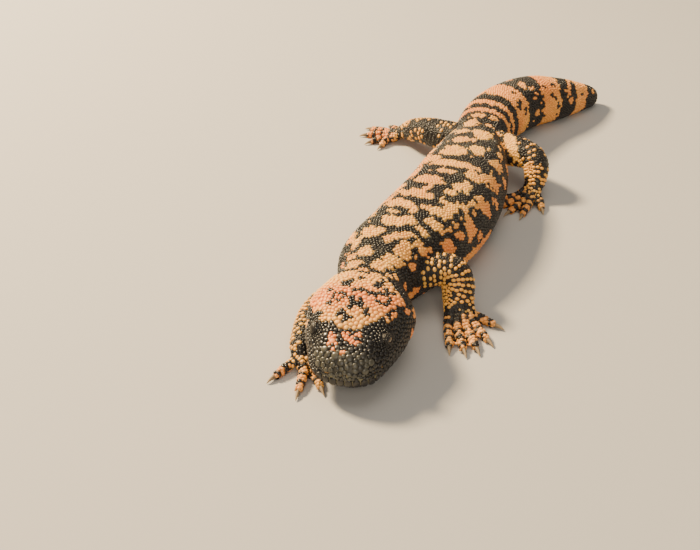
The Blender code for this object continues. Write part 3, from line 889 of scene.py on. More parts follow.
def ball(centre: Array, radii: tuple[float, float, float], rings: int = 12) -> tuple[Array, list]:
    """An egg-shaped ball.

    Args:
        centre: Its middle.
        radii: Its half sizes.
        rings: How many rings of faces it has.

    Returns:
        Corners and faces.
    """
    made = bmesh.new()
    bmesh.ops.create_uvsphere(made, u_segments=2 * rings, v_segments=rings, radius=1.0)
    corners = np.array([v.co for v in made.verts]) * radii + centre
    faces = [[v.index for v in f.verts] for f in made.faces]
    made.free()
    return corners, faces


@dataclass(frozen=True)
class Hollow:
    """A soft hollow of the head: its depth, and its middle and half sizes along and round from the crown."""

    depth: float
    along: float
    half_along: float
    turn: float
    half_turn: float

    def at(self, place: Place) -> Array:
        """How deep the hollow is at places."""
        along = self.depth * bump(place.along, self.along, self.half_along)
        return along * bump(np.abs(place.turn), self.turn, self.half_turn)


@dataclass(frozen=True)
class Creases:
    """Creases across the body: their step, where they lie along it, and from which turn round they deepen."""

    step: float
    along: float
    half_along: float
    turn_from: float
    turn_full: float


# Before each eye, behind it, along the crown and over the lips.
HOLLOWS = each(
    Hollow,
    (1.5, 15.5, 4.5, 0.60, 0.13), (1.1, 34.0, 6.0, 0.66, 0.12), (0.9, 19.0, 6.0, 0.0, 0.18),
    (0.8, 5.0, 6.0, 0.80, 0.10),
)
# At the throat, the groins and the armpits.
CREASES = each(
    Creases, (7.0, 76.0, 11.0, 0.35, 0.7), (8.5, 262.0, 22.0, 0.6, 0.85), (7.5, 122.0, 14.0, 0.7, 0.9)
)


@dataclass
class Skin:
    """The one skin over head, trunk, legs and tail. It lies inside the solids by the beads' depth."""

    voxel: float = 1.08
    swell: float = 0.35
    socket_ball: float = 4.2
    bead_depth: float = 0.85
    toe_bead_depth: float = 0.6
    smoothing: tuple[float, float] = (0.6, -0.62)
    smoothing_rounds: int = 8
    mouth_depth: float = 1.3
    crease_depth: float = 0.45
    web_depth: float = 2.2
    least_height: float = 0.15
    corners: Array = field(init=False)
    on_head: Array = field(init=False)
    normals: Array = field(init=False)
    tree: BVHTree = field(init=False)

    def base(self) -> Object:
        """Remesh swollen copies of the solids, and balls that fill the eye sockets, as one.

        Returns:
            The object, before it is smoothed.
        """
        shapes = []
        for name in FLESH:
            made = bmesh.new()
            made.from_mesh(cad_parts[name].data)
            bmesh.ops.remove_doubles(made, verts=made.verts, dist=1e-5)
            made.normal_update()
            corners = np.array([v.co / MM + v.normal * self.swell for v in made.verts])
            shapes.append((corners, [[v.index for v in f.verts] for f in made.faces]))
            made.free()
        for name in EYE_NODES:
            shapes.append(ball(middle_of(name), (self.socket_ball,) * 3))
        obj = mesh_object("skin", *join_faces(shapes))
        remesh = obj.modifiers.new("remesh", "REMESH")
        remesh.mode = "VOXEL"
        remesh.voxel_size = self.voxel * MM
        remesh.adaptivity = 0.0
        mesh = plain_mesh(obj)
        obj.modifiers.clear()
        obj.data = mesh
        return obj

    @staticmethod
    def face_normals(corners: Array, quads: Array) -> Array:
        """Unit normals at the corners of four-sided faces.

        Args:
            corners: Corners, one to a row.
            quads: Corner numbers of each face.

        Returns:
            One normal for each corner.
        """
        a, b, c, d = (corners[quads[:, k]] for k in range(4))
        across = np.cross(c - a, d - b)
        total = np.zeros_like(corners)
        for k in range(4):
            for axis in range(3):
                total[:, axis] += np.bincount(quads[:, k], across[:, axis], len(corners))
        return unit(total)

    def smooth(self, corners: Array, edges: Array) -> Array:
        """Smooth the corners and keep the volume.

        Args:
            corners: Corners, one to a row.
            edges: The two corner numbers of each edge.

        Returns:
            The corners' new places.
        """
        degree = np.bincount(edges.ravel(), minlength=len(corners))[:, None]
        for step in self.smoothing * self.smoothing_rounds:
            total = np.zeros_like(corners)
            for axis in range(3):
                total[:, axis] += np.bincount(edges[:, 0], corners[edges[:, 1], axis], len(corners))
                total[:, axis] += np.bincount(edges[:, 1], corners[edges[:, 0], axis], len(corners))
            corners = corners + step * (total / degree - corners)
        return corners

    def build(self, body: BodyMap) -> Object:
        """Make the skin.

        Args:
            body: The map of places.

        Returns:
            The skin's object.
        """
        obj = self.base()
        mesh = obj.data
        count = len(mesh.vertices)
        corners = np.empty(count * 3)
        mesh.vertices.foreach_get("co", corners)
        corners = corners.reshape(-1, 3) / MM
        edges = np.empty(len(mesh.edges) * 2, int)
        mesh.edges.foreach_get("vertices", edges)
        quads = np.empty(len(mesh.polygons) * 4, int)
        mesh.polygons.foreach_get("vertices", quads)
        quads = quads.reshape(-1, 4)
        corners = self.smooth(corners, edges.reshape(-1, 2))
        normals = self.face_normals(corners, quads)
        place = body.place(corners)
        depth = np.where(place.on(Region.FOOT), self.toe_bead_depth, self.bead_depth)
        corners = corners - normals * (self.swell + depth)[:, None]
        corners = corners - normals * (self.folds(body, place, corners) + self.sculpt(place))[:, None]
        corners[:, 2] = np.maximum(corners[:, 2], self.least_height)
        mesh.vertices.foreach_set("co", (corners * MM).ravel())
        mesh.update()
        mesh.shade_smooth()
        self.corners = corners
        self.on_head = np.flatnonzero(place.on(Region.HEAD))
        self.normals = self.face_normals(corners, quads)
        self.tree = BVHTree.FromPolygons(corners.tolist(), quads.tolist())
        log.info("skin: %d faces", len(mesh.polygons))
        return obj

    def sculpt(self, place: Place) -> Array:
        """How deep the head's hollows and the gaps between the toes press in.

        Args:
            place: Where the corners lie.

        Returns:
            One depth for each corner.
        """
        head = sum(hollow.at(place) for hollow in HOLLOWS) * place.on(Region.HEAD)
        toes = self.web_depth * place.groove * ramp(place.toe_along, 3.0, 9.0)
        return head + toes * ramp(place.spots[:, 2], 2.5, 4.5)

    def folds(self, body: BodyMap, place: Place, corners: Array) -> Array:
        """How deep the mouth line and the creases of the skin press in.

        Args:
            body: The map of places.
            place: Where the corners lie.
            corners: Corners, one to a row.

        Returns:
            One depth for each corner.
        """
        at, _ = HEAD.read(body, corners)
        mouth = self.mouth_depth * bump(corners[:, 2] - HEAD.mouth_height(at), 0.15, 0.75)
        mouth = mouth * ramp(at, HEAD.mouth_end + 2, HEAD.mouth_end - 4)
        over = np.abs(place.turn)
        wander = place.along + 2.5 * noise(corners, 12.0, seed=41)
        waves, near = np.zeros((2, len(corners)))
        for crease in CREASES:
            patch = bump(place.along, crease.along, crease.half_along)
            sides = ramp(over, crease.turn_from, crease.turn_full)
            waves += np.sin(2 * math.pi * wander / crease.step) * patch * sides
            near += patch
        creased = self.crease_depth * waves + self.crease_depth
        creased = creased * ramp(near, 0.1, 0.6) * ramp(over, 0.35, 0.7)
        return np.where(place.on(Region.HEAD), mouth, np.where(place.on(Region.BODY), creased, 0.0))


@dataclass(frozen=True)
class BeadShape:
    """Outline of one bead as rings of radius and height, on a circle of radius one."""

    sides: int
    rings: tuple[tuple[float, float], ...]
    squareness: float = 2.0

    def build(self, name: str) -> Object:
        """Make the bead, with its own corner places kept as attributes.

        Args:
            name: Name of its object.

        Returns:
            The object.
        """
        corners = []
        power = 2 / self.squareness
        for radius, height in self.rings:
            for k in range(self.sides):
                angle = 2 * math.pi * (k + 0.5) / self.sides
                along = math.copysign(abs(math.cos(angle)) ** power, math.cos(angle))
                across = math.copysign(abs(math.sin(angle)) ** power, math.sin(angle))
                corners.append((radius * along, radius * across, height))
        corners.append((0.0, 0.0, 1.0))
        faces = ring_quads(len(self.rings), self.sides)
        start = (len(self.rings) - 1) * self.sides
        faces += [(start + k, start + (k + 1) % self.sides, len(corners) - 1) for k in range(self.sides)]
        rows = np.array(corners)
        obj = mesh_object(name, rows / MM, faces)
        obj.data.shade_smooth()
        vectors(obj.data, "local", rows)
        # Height on the bead, which the finish turns into painted shade at its foot.
        numbers(obj.data, "rise", np.clip(rows[:, 2], 0, 1))
        return obj


# The trunk and legs have domes, the head has wider bosses, and the lips and toes have square shields.
ROUND_BEAD = BeadShape(8, ((1.0, -0.35), (0.95, 0.35), (0.60, 0.86)))
HEAD_PLATE = BeadShape(12, ((1.0, -0.5), (0.99, 0.28), (0.86, 0.70), (0.52, 0.93)))
SHIELD = BeadShape(16, ((1.0, -0.5), (1.0, 0.25), (0.88, 0.74), (0.50, 0.94)), 2.9)


class Kind(Enum):
    """What a bead is."""

    FREE = 0
    BOSS = 1
    UPPER_LIP = 2
    LOWER_LIP = 3
    LID = 4
    LEG = 5
    GRANULE = 6
    SCUTE = 7
    LID_EDGE = 8


@dataclass
class Beads:
    """Beads on the skin: their places, the room each takes, which kind each is, and the way it lies."""

    spots: Array
    pitch: Array
    kind: Array
    lie: Array
    out: Array

    @classmethod
    def of(
        cls,
        spots: Array,
        pitch: Array | float,
        kind: Kind,
        lie: Array | None = None,
        out: Array | None = None,
    ) -> "Beads":
        """Beads of one kind.

        Args:
            spots: Their places.
            pitch: The room that each takes.
            kind: What they are.
            lie: Their lengthwise ways, where these are not the skin's own.
            out: Their outward ways, where these are not the skin's own.

        Returns:
            The beads.
        """
        spots = np.asarray(spots, float).reshape(-1, 3)
        count = len(spots)
        lie = np.zeros((count, 3)) if lie is None else lie
        out = np.zeros((count, 3)) if out is None else out
        return cls(spots, np.broadcast_to(pitch, count).astype(float), np.full(count, kind.value), lie, out)

    def __getitem__(self, rows: Array) -> "Beads":
        """Some of the beads."""
        return Beads(*(getattr(self, one.name)[rows] for one in fields(self)))

    def __add__(self, other: "Beads") -> "Beads":
        """Both sets of beads."""
        pairs = ((getattr(self, one.name), getattr(other, one.name)) for one in fields(self))
        return Beads(*(np.concatenate(pair) for pair in pairs))

    def are(self, *kinds: Kind) -> Array:
        """Which beads are of some kinds."""
        return np.isin(self.kind, [kind.value for kind in kinds])

    @property
    def fixed(self) -> Array:
        """Which beads keep their place."""
        return ~self.are(Kind.FREE, Kind.LEG, Kind.GRANULE)


# Radius of the lids' dome, and how far each eye looks up and forwards to one outwards.
LID_RADIUS = 3.62
LOOK_UP = 0.34
LOOK_AHEAD = 0.22


@dataclass(frozen=True)
class Lids:
    """Axes of a pair of lids: the eye's middle, the way it looks, and the ways forwards and up across it."""

    centre: Array
    out: Array
    forward: Array
    over: Array

    @classmethod
    def facing(cls, centre: Array, along: Array, side: Array) -> "Lids":
        """Axes for one eye.

        Args:
            centre: The eye's middle.
            along: The head's way backwards.
            side: The head's way out to the eye's side.

        Returns:
            The axes.
        """
        out = unit(side + np.array([0, 0, LOOK_UP]) - along * LOOK_AHEAD)
        forward = unit(-along + out * float(along @ out))
        over = np.cross(out, forward)
        return cls(centre, out, forward, over * math.copysign(1.0, over[2]))

    def on_dome(self, forward: Array, over: Array, radius: float) -> Array:
        """Points on the dome of the lids.

        Args:
            forward: Distances forwards from its top.
            over: Distances up from its top.
            radius: Radius of the dome.

        Returns:
            The points, one to a row.
        """
        off = np.minimum(np.hypot(forward, over), radius)
        height = np.sqrt(np.maximum(radius**2 - off**2, 0.0))
        spots = self.centre + np.outer(forward, self.forward) + np.outer(over, self.over)
        return spots + np.outer(height, self.out)


# Distance behind the snout, turn round from the crown and radius of each boss on one side or the middle.
SNOUT_BOSSES = (
    (2.0, 0.0, 2.0), (2.2, 0.27, 1.7), (5.6, 0.105, 2.3), (10.2, 0.09, 1.9), (9.4, 0.33, 2.2),
    (13.6, 0.0, 1.7), (13.6, 0.19, 1.9), (13.2, 0.42, 1.9), (8.6, 0.56, 2.0), (2.4, 0.62, 2.0),
    (12.6, 0.64, 1.9), (17.0, 0.10, 1.8), (17.2, 0.32, 2.0),
)
# Distance behind the snout, height and radius of a nostril and of the three rounds of an ear opening.
NOSTRIL_AND_EAR = ((2.4, 19.5, 1.5), (57.5, 20.5, 1.7), (57.5, 23.5, 1.9), (57.5, 26.5, 1.7))


def nearest(spots: Array) -> KDTree:
    """Tree that finds the nearest of some spots."""
    tree = KDTree(len(spots))
    for i, spot in enumerate(spots):
        tree.insert(spot, i)
    tree.balance()
    return tree


@dataclass
class BeadLayout:
    """Lays rows of beads over the skin, thins and spreads them, and fills the gaps between them."""

    body: BodyMap
    skin: Skin
    trunk_pitch: float = 2.0
    row_jitter: float = 0.30
    head_jitter: float = 0.75
    belly_pitch: float = 3.0
    crown_pitch: float = 2.8
    mark_pitch: float = 2.0
    snout_pitch: float = 3.2
    throat_pitch: float = 2.4
    leg_pitch: float = 2.75
    leg_around: float = 1.25
    leg_step: float = 1.22
    leg_jitter: float = 0.34
    leg_reach: float = 7.0
    scute_step: float = 2.1
    granule_pitch: float = 1.65
    toe_pitch: float = 2.1
    row_step: float = 0.88
    lid_pitch: float = 1.6
    lid_edge_pitch: float = 0.9
    eye_clearance: float = 3.8
    lip_spacing: float = 4.2
    snout_round: float = 11.0
    spreading_rounds: int = 5
    body_draws: int = 36000
    head_draws: int = 12000
    room_in_rows: float = 0.78
    room_in_filling: float = 0.80
    filling_on_head: tuple[bool, ...] = (False, False, False, True, True, True)

    def pitch(self, place: Place) -> Array:
        """Distance from bead to bead that places want.

        Args:
            place: The places.

        Returns:
            One distance for each.
        """
        over = np.abs(place.turn)
        trunk = self.trunk_pitch + (self.belly_pitch - self.trunk_pitch) * ramp(over, 1.15, 1.5)
        head = self.crown_pitch + (self.snout_pitch - self.crown_pitch) * ramp(place.along, 18, 8)
        head = head * (1.0 + 0.24 * noise(place.spots, 4.5, seed=61))
        pale = Markings.inside(place.along, place.turn, PALE_HEAD_MARKS)
        marked = np.maximum(Markings.dark_marks(place), pale - 0.1)
        brim = (place.along < 12) & (place.spots[:, 2] < 20.5) & (place.spots[:, 2] > 15.0)
        head = np.where((marked > -0.6) | brim, np.minimum(head, self.mark_pitch), head)
        head = head + (self.throat_pitch - head) * ramp(over, 1.15, 1.4)
        head = head + (self.trunk_pitch - head) * ramp(place.along, 54, 68)
        for eye in self.eyes():
            near = np.linalg.norm(place.spots - eye, axis=1)
            head = head + (self.lid_pitch - head) * ramp(near, 8.0, 5.0)
        result = np.where(place.on(Region.HEAD), head, trunk)
        result = np.where(place.on(Region.LEG), self.granule_pitch, result)
        return np.where(place.on(Region.FOOT), self.toe_pitch, result)

    @staticmethod
    def eyes() -> list[Array]:
        """Middles of the two eyes."""
        return [middle_of(name) for name in EYE_NODES]

    def openings(self) -> list[tuple[Array, float]]:
        """Places that stay clear of beads: eyes, nostrils and ears.

        Returns:
            Middle and radius of each.
        """
        found = [(eye, self.eye_clearance) for eye in self.eyes()]
        snout, along, left = HEAD.axes(self.body)
        for side in (1.0, -1.0):
            for at, height, radius in NOSTRIL_AND_EAR:
                start = snout + along * at
                start[2] = height
                found.append((np.array(self.skin.tree.ray_cast(start, left * side)[0]), radius))
        return found

    def rows(self) -> Beads:
        """First places of the beads: rings round the body, the legs and the toes.

        Returns:
            Free beads.
        """
        found = []
        along = 0.4
        odd = False
        while along < self.body.back.length - 0.3:
            pitch = self.trunk_pitch
            if along < 60:
                pitch = self.snout_pitch + (self.crown_pitch - self.snout_pitch) * float(ramp(along, 8, 18))
            ring = self.body.ring(along, pitch)
            found.append((ring + np.roll(ring, 1, axis=0)) / 2 if odd else ring)
            odd = not odd
            along += pitch * self.row_step
        for line in self.body.toe_lines:
            step = self.toe_pitch * self.row_step
            found.append(self.tube(line, 0.0, line.length + 1.5, 3.0, self.toe_pitch, step))
        spots = np.vstack(found)
        near_head = self.body.back.locate(spots, flat=True)[0] < 60
        jitter = np.where(near_head, self.head_jitter, self.row_jitter)[:, None]
        spots = spots + np.random.default_rng(SEED + 2).normal(0, 1, spots.shape) * jitter
        return Beads.of(self.onto_skin(spots), 1.0, Kind.FREE)

    def leg_rows(self) -> Beads:
        """Pale beads in loose rings round the legs; granules fill between them.

        Returns:
            Beads of the legs.
        """
        around, step = self.leg_pitch * self.leg_around, self.leg_pitch * self.leg_step
        spots = np.vstack([self.tube(leg, 6.0, leg.length, 8.5, around, step) for leg in self.body.legs])
        jitter = np.random.default_rng(SEED + 3).normal(0, self.leg_jitter, spots.shape)
        spots = self.onto_skin(spots + jitter, self.leg_reach)
        wanted = self.body.place(spots).on(Region.LEG) & (noise(spots, 3.1, seed=71) > -0.48)
        wanted &= ~Markings().fold(spots)
        return Beads.of(spots[wanted], self.leg_pitch, Kind.LEG)

    def scutes(self) -> Beads:
        """Wide plates over each toe and over the hand behind it, in one row to a toe.

        Returns:
            The plates, across their toes.
        """
        spots = []
        lies = []
        for line in self.body.toe_lines:
            for along in np.arange(2.5, line.length + 0.6, self.scute_step):
                start = line.point(along)[0]
                start[2] = 0.5
                hit = self.skin.tree.ray_cast(Vector(start), Vector((0, 0, 1)))[0]
                if hit is not None and hit[2] < 14.0:
                    spots.append(np.array(hit))
                    lies.append(line.ahead(along)[0])
        return Beads.of(np.array(spots), self.toe_pitch * 1.25, Kind.SCUTE, np.array(lies))

    @staticmethod
    def tube(line: Line, start: float, end: float, radius: float, around: float, step: float) -> Array:
        """Rings of points round a line.

        Args:
            line: The line.
            start: Where the first ring is along it.
            end: Where the rings end.
            radius: Radius of a ring.
            around: About how far the points of a ring are apart.
            step: How far the rings are apart.

        Returns:
            The points, one to a row.
        """
        found = []
        count = max(5, round(2 * math.pi * radius / around))
        for number, along in enumerate(np.arange(start, end, step)):
            ahead = line.ahead(along)[0]
            side = unit(np.cross(ahead, (0, 0, 1)))
            over = np.cross(side, ahead)
            angle = 2 * math.pi * (np.arange(count) + 0.5 * (number % 2)) / count
            ring = np.outer(np.cos(angle), side) + np.outer(np.sin(angle), over)
            found.append(line.point(along)[0] + radius * ring)
        return np.vstack(found)

    def onto_skin(self, spots: Array, reach: float = 4.0) -> Array:
        """Nearest places on the skin.

        Args:
            spots: Points, one to a row.
            reach: How far off the skin a spot may be to count.

        Returns:
            Places of the spots that count.
        """
        near = [self.skin.tree.find_nearest(Vector(spot)) for spot in spots]
        return np.array([found[0] for found in near if found[3] < reach]).reshape(-1, 3)

    def lip_height(self, along: float) -> float:
        """Half height of an upper lip shield: tall round the front of the snout, low towards the corner."""
        return 2.0 + 0.6 * float(ramp(np.array([along]), 16.0, 4.0)[0])

    def lips(self, above: bool) -> Beads:
        """Row of lip shields along the mouth, from one corner round the front to the other.

        Args:
            above: Whether it is the upper row.

        Returns:
            The shields, along the mouth.
        """
        snout, along, left = HEAD.axes(self.body)
        steps = [(at, 90.0) for at in np.linspace(HEAD.mouth_end - 2, self.snout_round, 40)]
        steps += [(self.snout_round, angle) for angle in np.linspace(88.0, -88.0, 60)]
        steps += [(at, -90.0) for at in np.linspace(self.snout_round, HEAD.mouth_end - 2, 40)]
        path = []
        for at, angle in steps:
            way = left * math.sin(math.radians(angle)) - along * math.cos(math.radians(angle))
            front = at - 12.0 * math.cos(math.radians(angle))
            start = snout + along * at
            rise = self.lip_height(front) * 1.05 if above else -1.9
            start[2] = float(HEAD.mouth_height(np.array([front]))[0]) + rise
            hit = self.skin.tree.ray_cast(start, way)[0]
            if hit is not None:
                path.append(np.array(hit))
        rows = np.array(path)
        lengths = lengths_along(rows)
        count = round(lengths[-1] / self.lip_spacing)
        wanted = (np.arange(count) + 0.5) * lengths[-1] / count
        lie = unit(on_path(wanted + 1, lengths, rows) - on_path(wanted - 1, lengths, rows))
        kind = Kind.UPPER_LIP if above else Kind.LOWER_LIP
        return Beads.of(on_path(wanted, lengths, rows), self.lip_spacing, kind, lie)

    def bosses(self) -> Beads:
        """Large bosses of the snout, the same on both sides.

        Returns:
            The bosses.
        """
        rows = [*SNOUT_BOSSES, *((along, -turn, radius) for along, turn, radius in SNOUT_BOSSES if turn > 0)]
        spots = []
        for along, turn, _ in rows:
            spot, left, (half_width, top, widest, _) = self.body.section(along)
            angle = abs(turn) * math.pi / 2
            power = 2 / SQUARENESS
            spot = spot + left * math.copysign(math.sin(angle) ** power * half_width, turn)
            spot[2] = widest + math.cos(angle) ** power * (top - widest)
            spots.append(spot)
        return Beads.of(self.onto_skin(np.array(spots)), np.array([2 * row[2] for row in rows]), Kind.BOSS)

    def lid_rings(self) -> Beads:
        """Two rings of small beads round each eye.

        Returns:
            The beads, along their rings.
        """
        _, along, left = HEAD.axes(self.body)
        up = np.array([0, 0, 1])
        found = []
        lies = []
        for eye, side in zip(self.eyes(), (1.0, -1.0)):
            for radius, count in ((4.7, 17), (6.2, 22)):
                for angle in 2 * math.pi * np.arange(count) / count:
                    way = along * math.cos(angle) + up * math.sin(angle)
                    spot = eye + way * radius + left * side * 2.0
                    found.append(np.array(self.skin.tree.find_nearest(Vector(spot))[0]))
                    lies.append(-along * math.sin(angle) + up * math.cos(angle))
        return Beads.of(np.array(found), self.lid_pitch, Kind.LID, np.array(lies))

    def lid_edges(self) -> Beads:
        """Granules in rings over the lids, from the edge of the opening outwards.

        Returns:
            The granules, along their rings.
        """
        _, along, left = HEAD.axes(self.body)
        spots = []
        lies = []
        outs = []
        for eye, side in zip(self.eyes(), (1.0, -1.0)):
            lids = Lids.facing(eye, along, left * side)
            for half_length, half_height, count in ((2.75, 1.80, 16), (3.28, 2.62, 18), (3.62, 3.30, 20)):
                angle = 2 * math.pi * np.arange(count) / count
                ring = lids.on_dome(np.cos(angle) * half_length, np.sin(angle) * half_height, LID_RADIUS)
                spots.append(ring)
                outs.append(unit(ring - eye))
                lies.append(np.roll(ring, -1, axis=0) - np.roll(ring, 1, axis=0))
        lie, out = unit(np.vstack(lies)), np.vstack(outs)
        return Beads.of(np.vstack(spots), self.lid_edge_pitch, Kind.LID_EDGE, lie, out)

    @staticmethod
    def thin(beads: Beads, share: float) -> Beads:
        """Leave out beads that stand too close to a kept one. Fixed beads are kept first.

        Args:
            beads: The beads.
            share: How much of their pitch they have to be apart.

        Returns:
            The beads that are left.
        """
        tree = nearest(beads.spots)
        state = np.zeros(len(beads.spots), int)
        for i in np.argsort(~beads.fixed, kind="stable"):
            if state[i] < 0:
                continue
            state[i] = 1
            for _, j, away in tree.find_range(beads.spots[i], share * 1.6 * beads.pitch[i]):
                if j != i and state[j] == 0 and away < share * (beads.pitch[i] + beads.pitch[j]) / 2:
                    state[j] = -1
        return beads[state > 0]

    def fill(self, beads: Beads, draws: int, rng: np.random.Generator, head: bool = False) -> Beads:
        """Draw places on the skin and keep those that have room for a bead.

        Args:
            beads: The beads that stand there.
            draws: How many places are drawn.
            rng: The source of the draws.
            head: Whether they lie on the head alone.

        Returns:
            New free beads.
        """
        within = self.skin.on_head if head else np.arange(len(self.skin.corners))
        tries = self.skin.corners[rng.choice(within, draws)] + rng.normal(0, 0.3, (draws, 3))
        tree = nearest(beads.spots)
        near = [tree.find(spot) for spot in tries]
        away = np.array([found[2] for found in near])
        loose = away > 1.2
        tries, away = tries[loose], away[loose]
        owner = np.array([found[1] for found in near])[loose]
        pitch = self.pitch(self.body.place(tries))
        room = away > (0.37 if head else 0.40) * (pitch + beads.pitch[owner])
        return Beads.of(self.onto_skin(tries[room]), 1.0, Kind.FREE)

    def spread(self, beads: Beads) -> None:
        """Push beads apart and set them back on the skin, a few times.

        Args:
            beads: The beads, changed in place.
        """
        fixed = beads.fixed
        for _ in range(self.spreading_rounds):
            tree = nearest(beads.spots)
            moved = beads.spots.copy()
            for i, spot in enumerate(beads.spots):
                if fixed[i]:
                    continue
                push = np.zeros(3)
                for _, j, away in tree.find_range(spot, beads.pitch[i] * 1.25):
                    room = (beads.pitch[i] + beads.pitch[j]) / 2
                    if j != i and 1e-6 < away < room:
                        push += (spot - beads.spots[j]) / away * (room - away)
                moved[i] = self.skin.tree.find_nearest(Vector(spot + 0.30 * push))[0]
            beads.spots = moved

    def sized(self, beads: Beads) -> Beads:
        """Give free beads the room that their place wants, and clear the openings and the mouth.

        Args:
            beads: The beads.

        Returns:
            Those that are left.
        """
        place = self.body.place(beads.spots)
        free = beads.are(Kind.FREE)
        beads.pitch = np.where(free, self.pitch(place), beads.pitch)
        beads.kind = np.where(free & place.on(Region.LEG), Kind.GRANULE.value, beads.kind)
        clear = np.ones(len(beads.spots), bool)
        for centre, radius in self.openings():
            clear &= np.linalg.norm(beads.spots - centre, axis=1) > radius
        at, _ = HEAD.read(self.body, beads.spots)
        above = beads.spots[:, 2] - HEAD.mouth_height(at)
        mouth = (at < HEAD.mouth_end) & (np.abs(above) < 1.0)
        reach = 2 * np.array([self.lip_height(one) for one in at])
        brim = (at < 14.0) & (above > 0) & (above < reach + 0.3)
        closed = place.on(Region.HEAD) & (mouth | brim) & ~beads.fixed
        return beads[clear & ~closed]

    def build(self) -> Beads:
        """Lay out all beads.

        Returns:
            The beads.
        """
        rng = np.random.default_rng(SEED)
        beads = self.lips(True) + self.lips(False) + self.bosses() + self.lid_rings() + self.leg_rows()
        beads = self.thin(self.sized(beads + self.scutes() + self.rows()), self.room_in_rows)
        for head in self.filling_on_head:
            extra = self.sized(self.fill(beads, self.head_draws if head else self.body_draws, rng, head))
            beads = beads + self.thin(extra, self.room_in_filling)
        self.spread(beads)
        beads = beads + self.lid_edges()
        log.info("beads laid out: %d", len(beads.spots))
        return beads


# Half sizes along, across and outwards of the beads whose size doesn't follow the room that they have.
OWN_SIZES = {
    Kind.UPPER_LIP: (1.96, 1.80, 0.72),
    Kind.LOWER_LIP: (1.96, 1.60, 0.70),
    Kind.LID: (0.86, 0.74, 0.50),
    Kind.SCUTE: (1.02, 1.95, 0.58),
    Kind.LID_EDGE: (0.52, 0.44, 0.34),
}


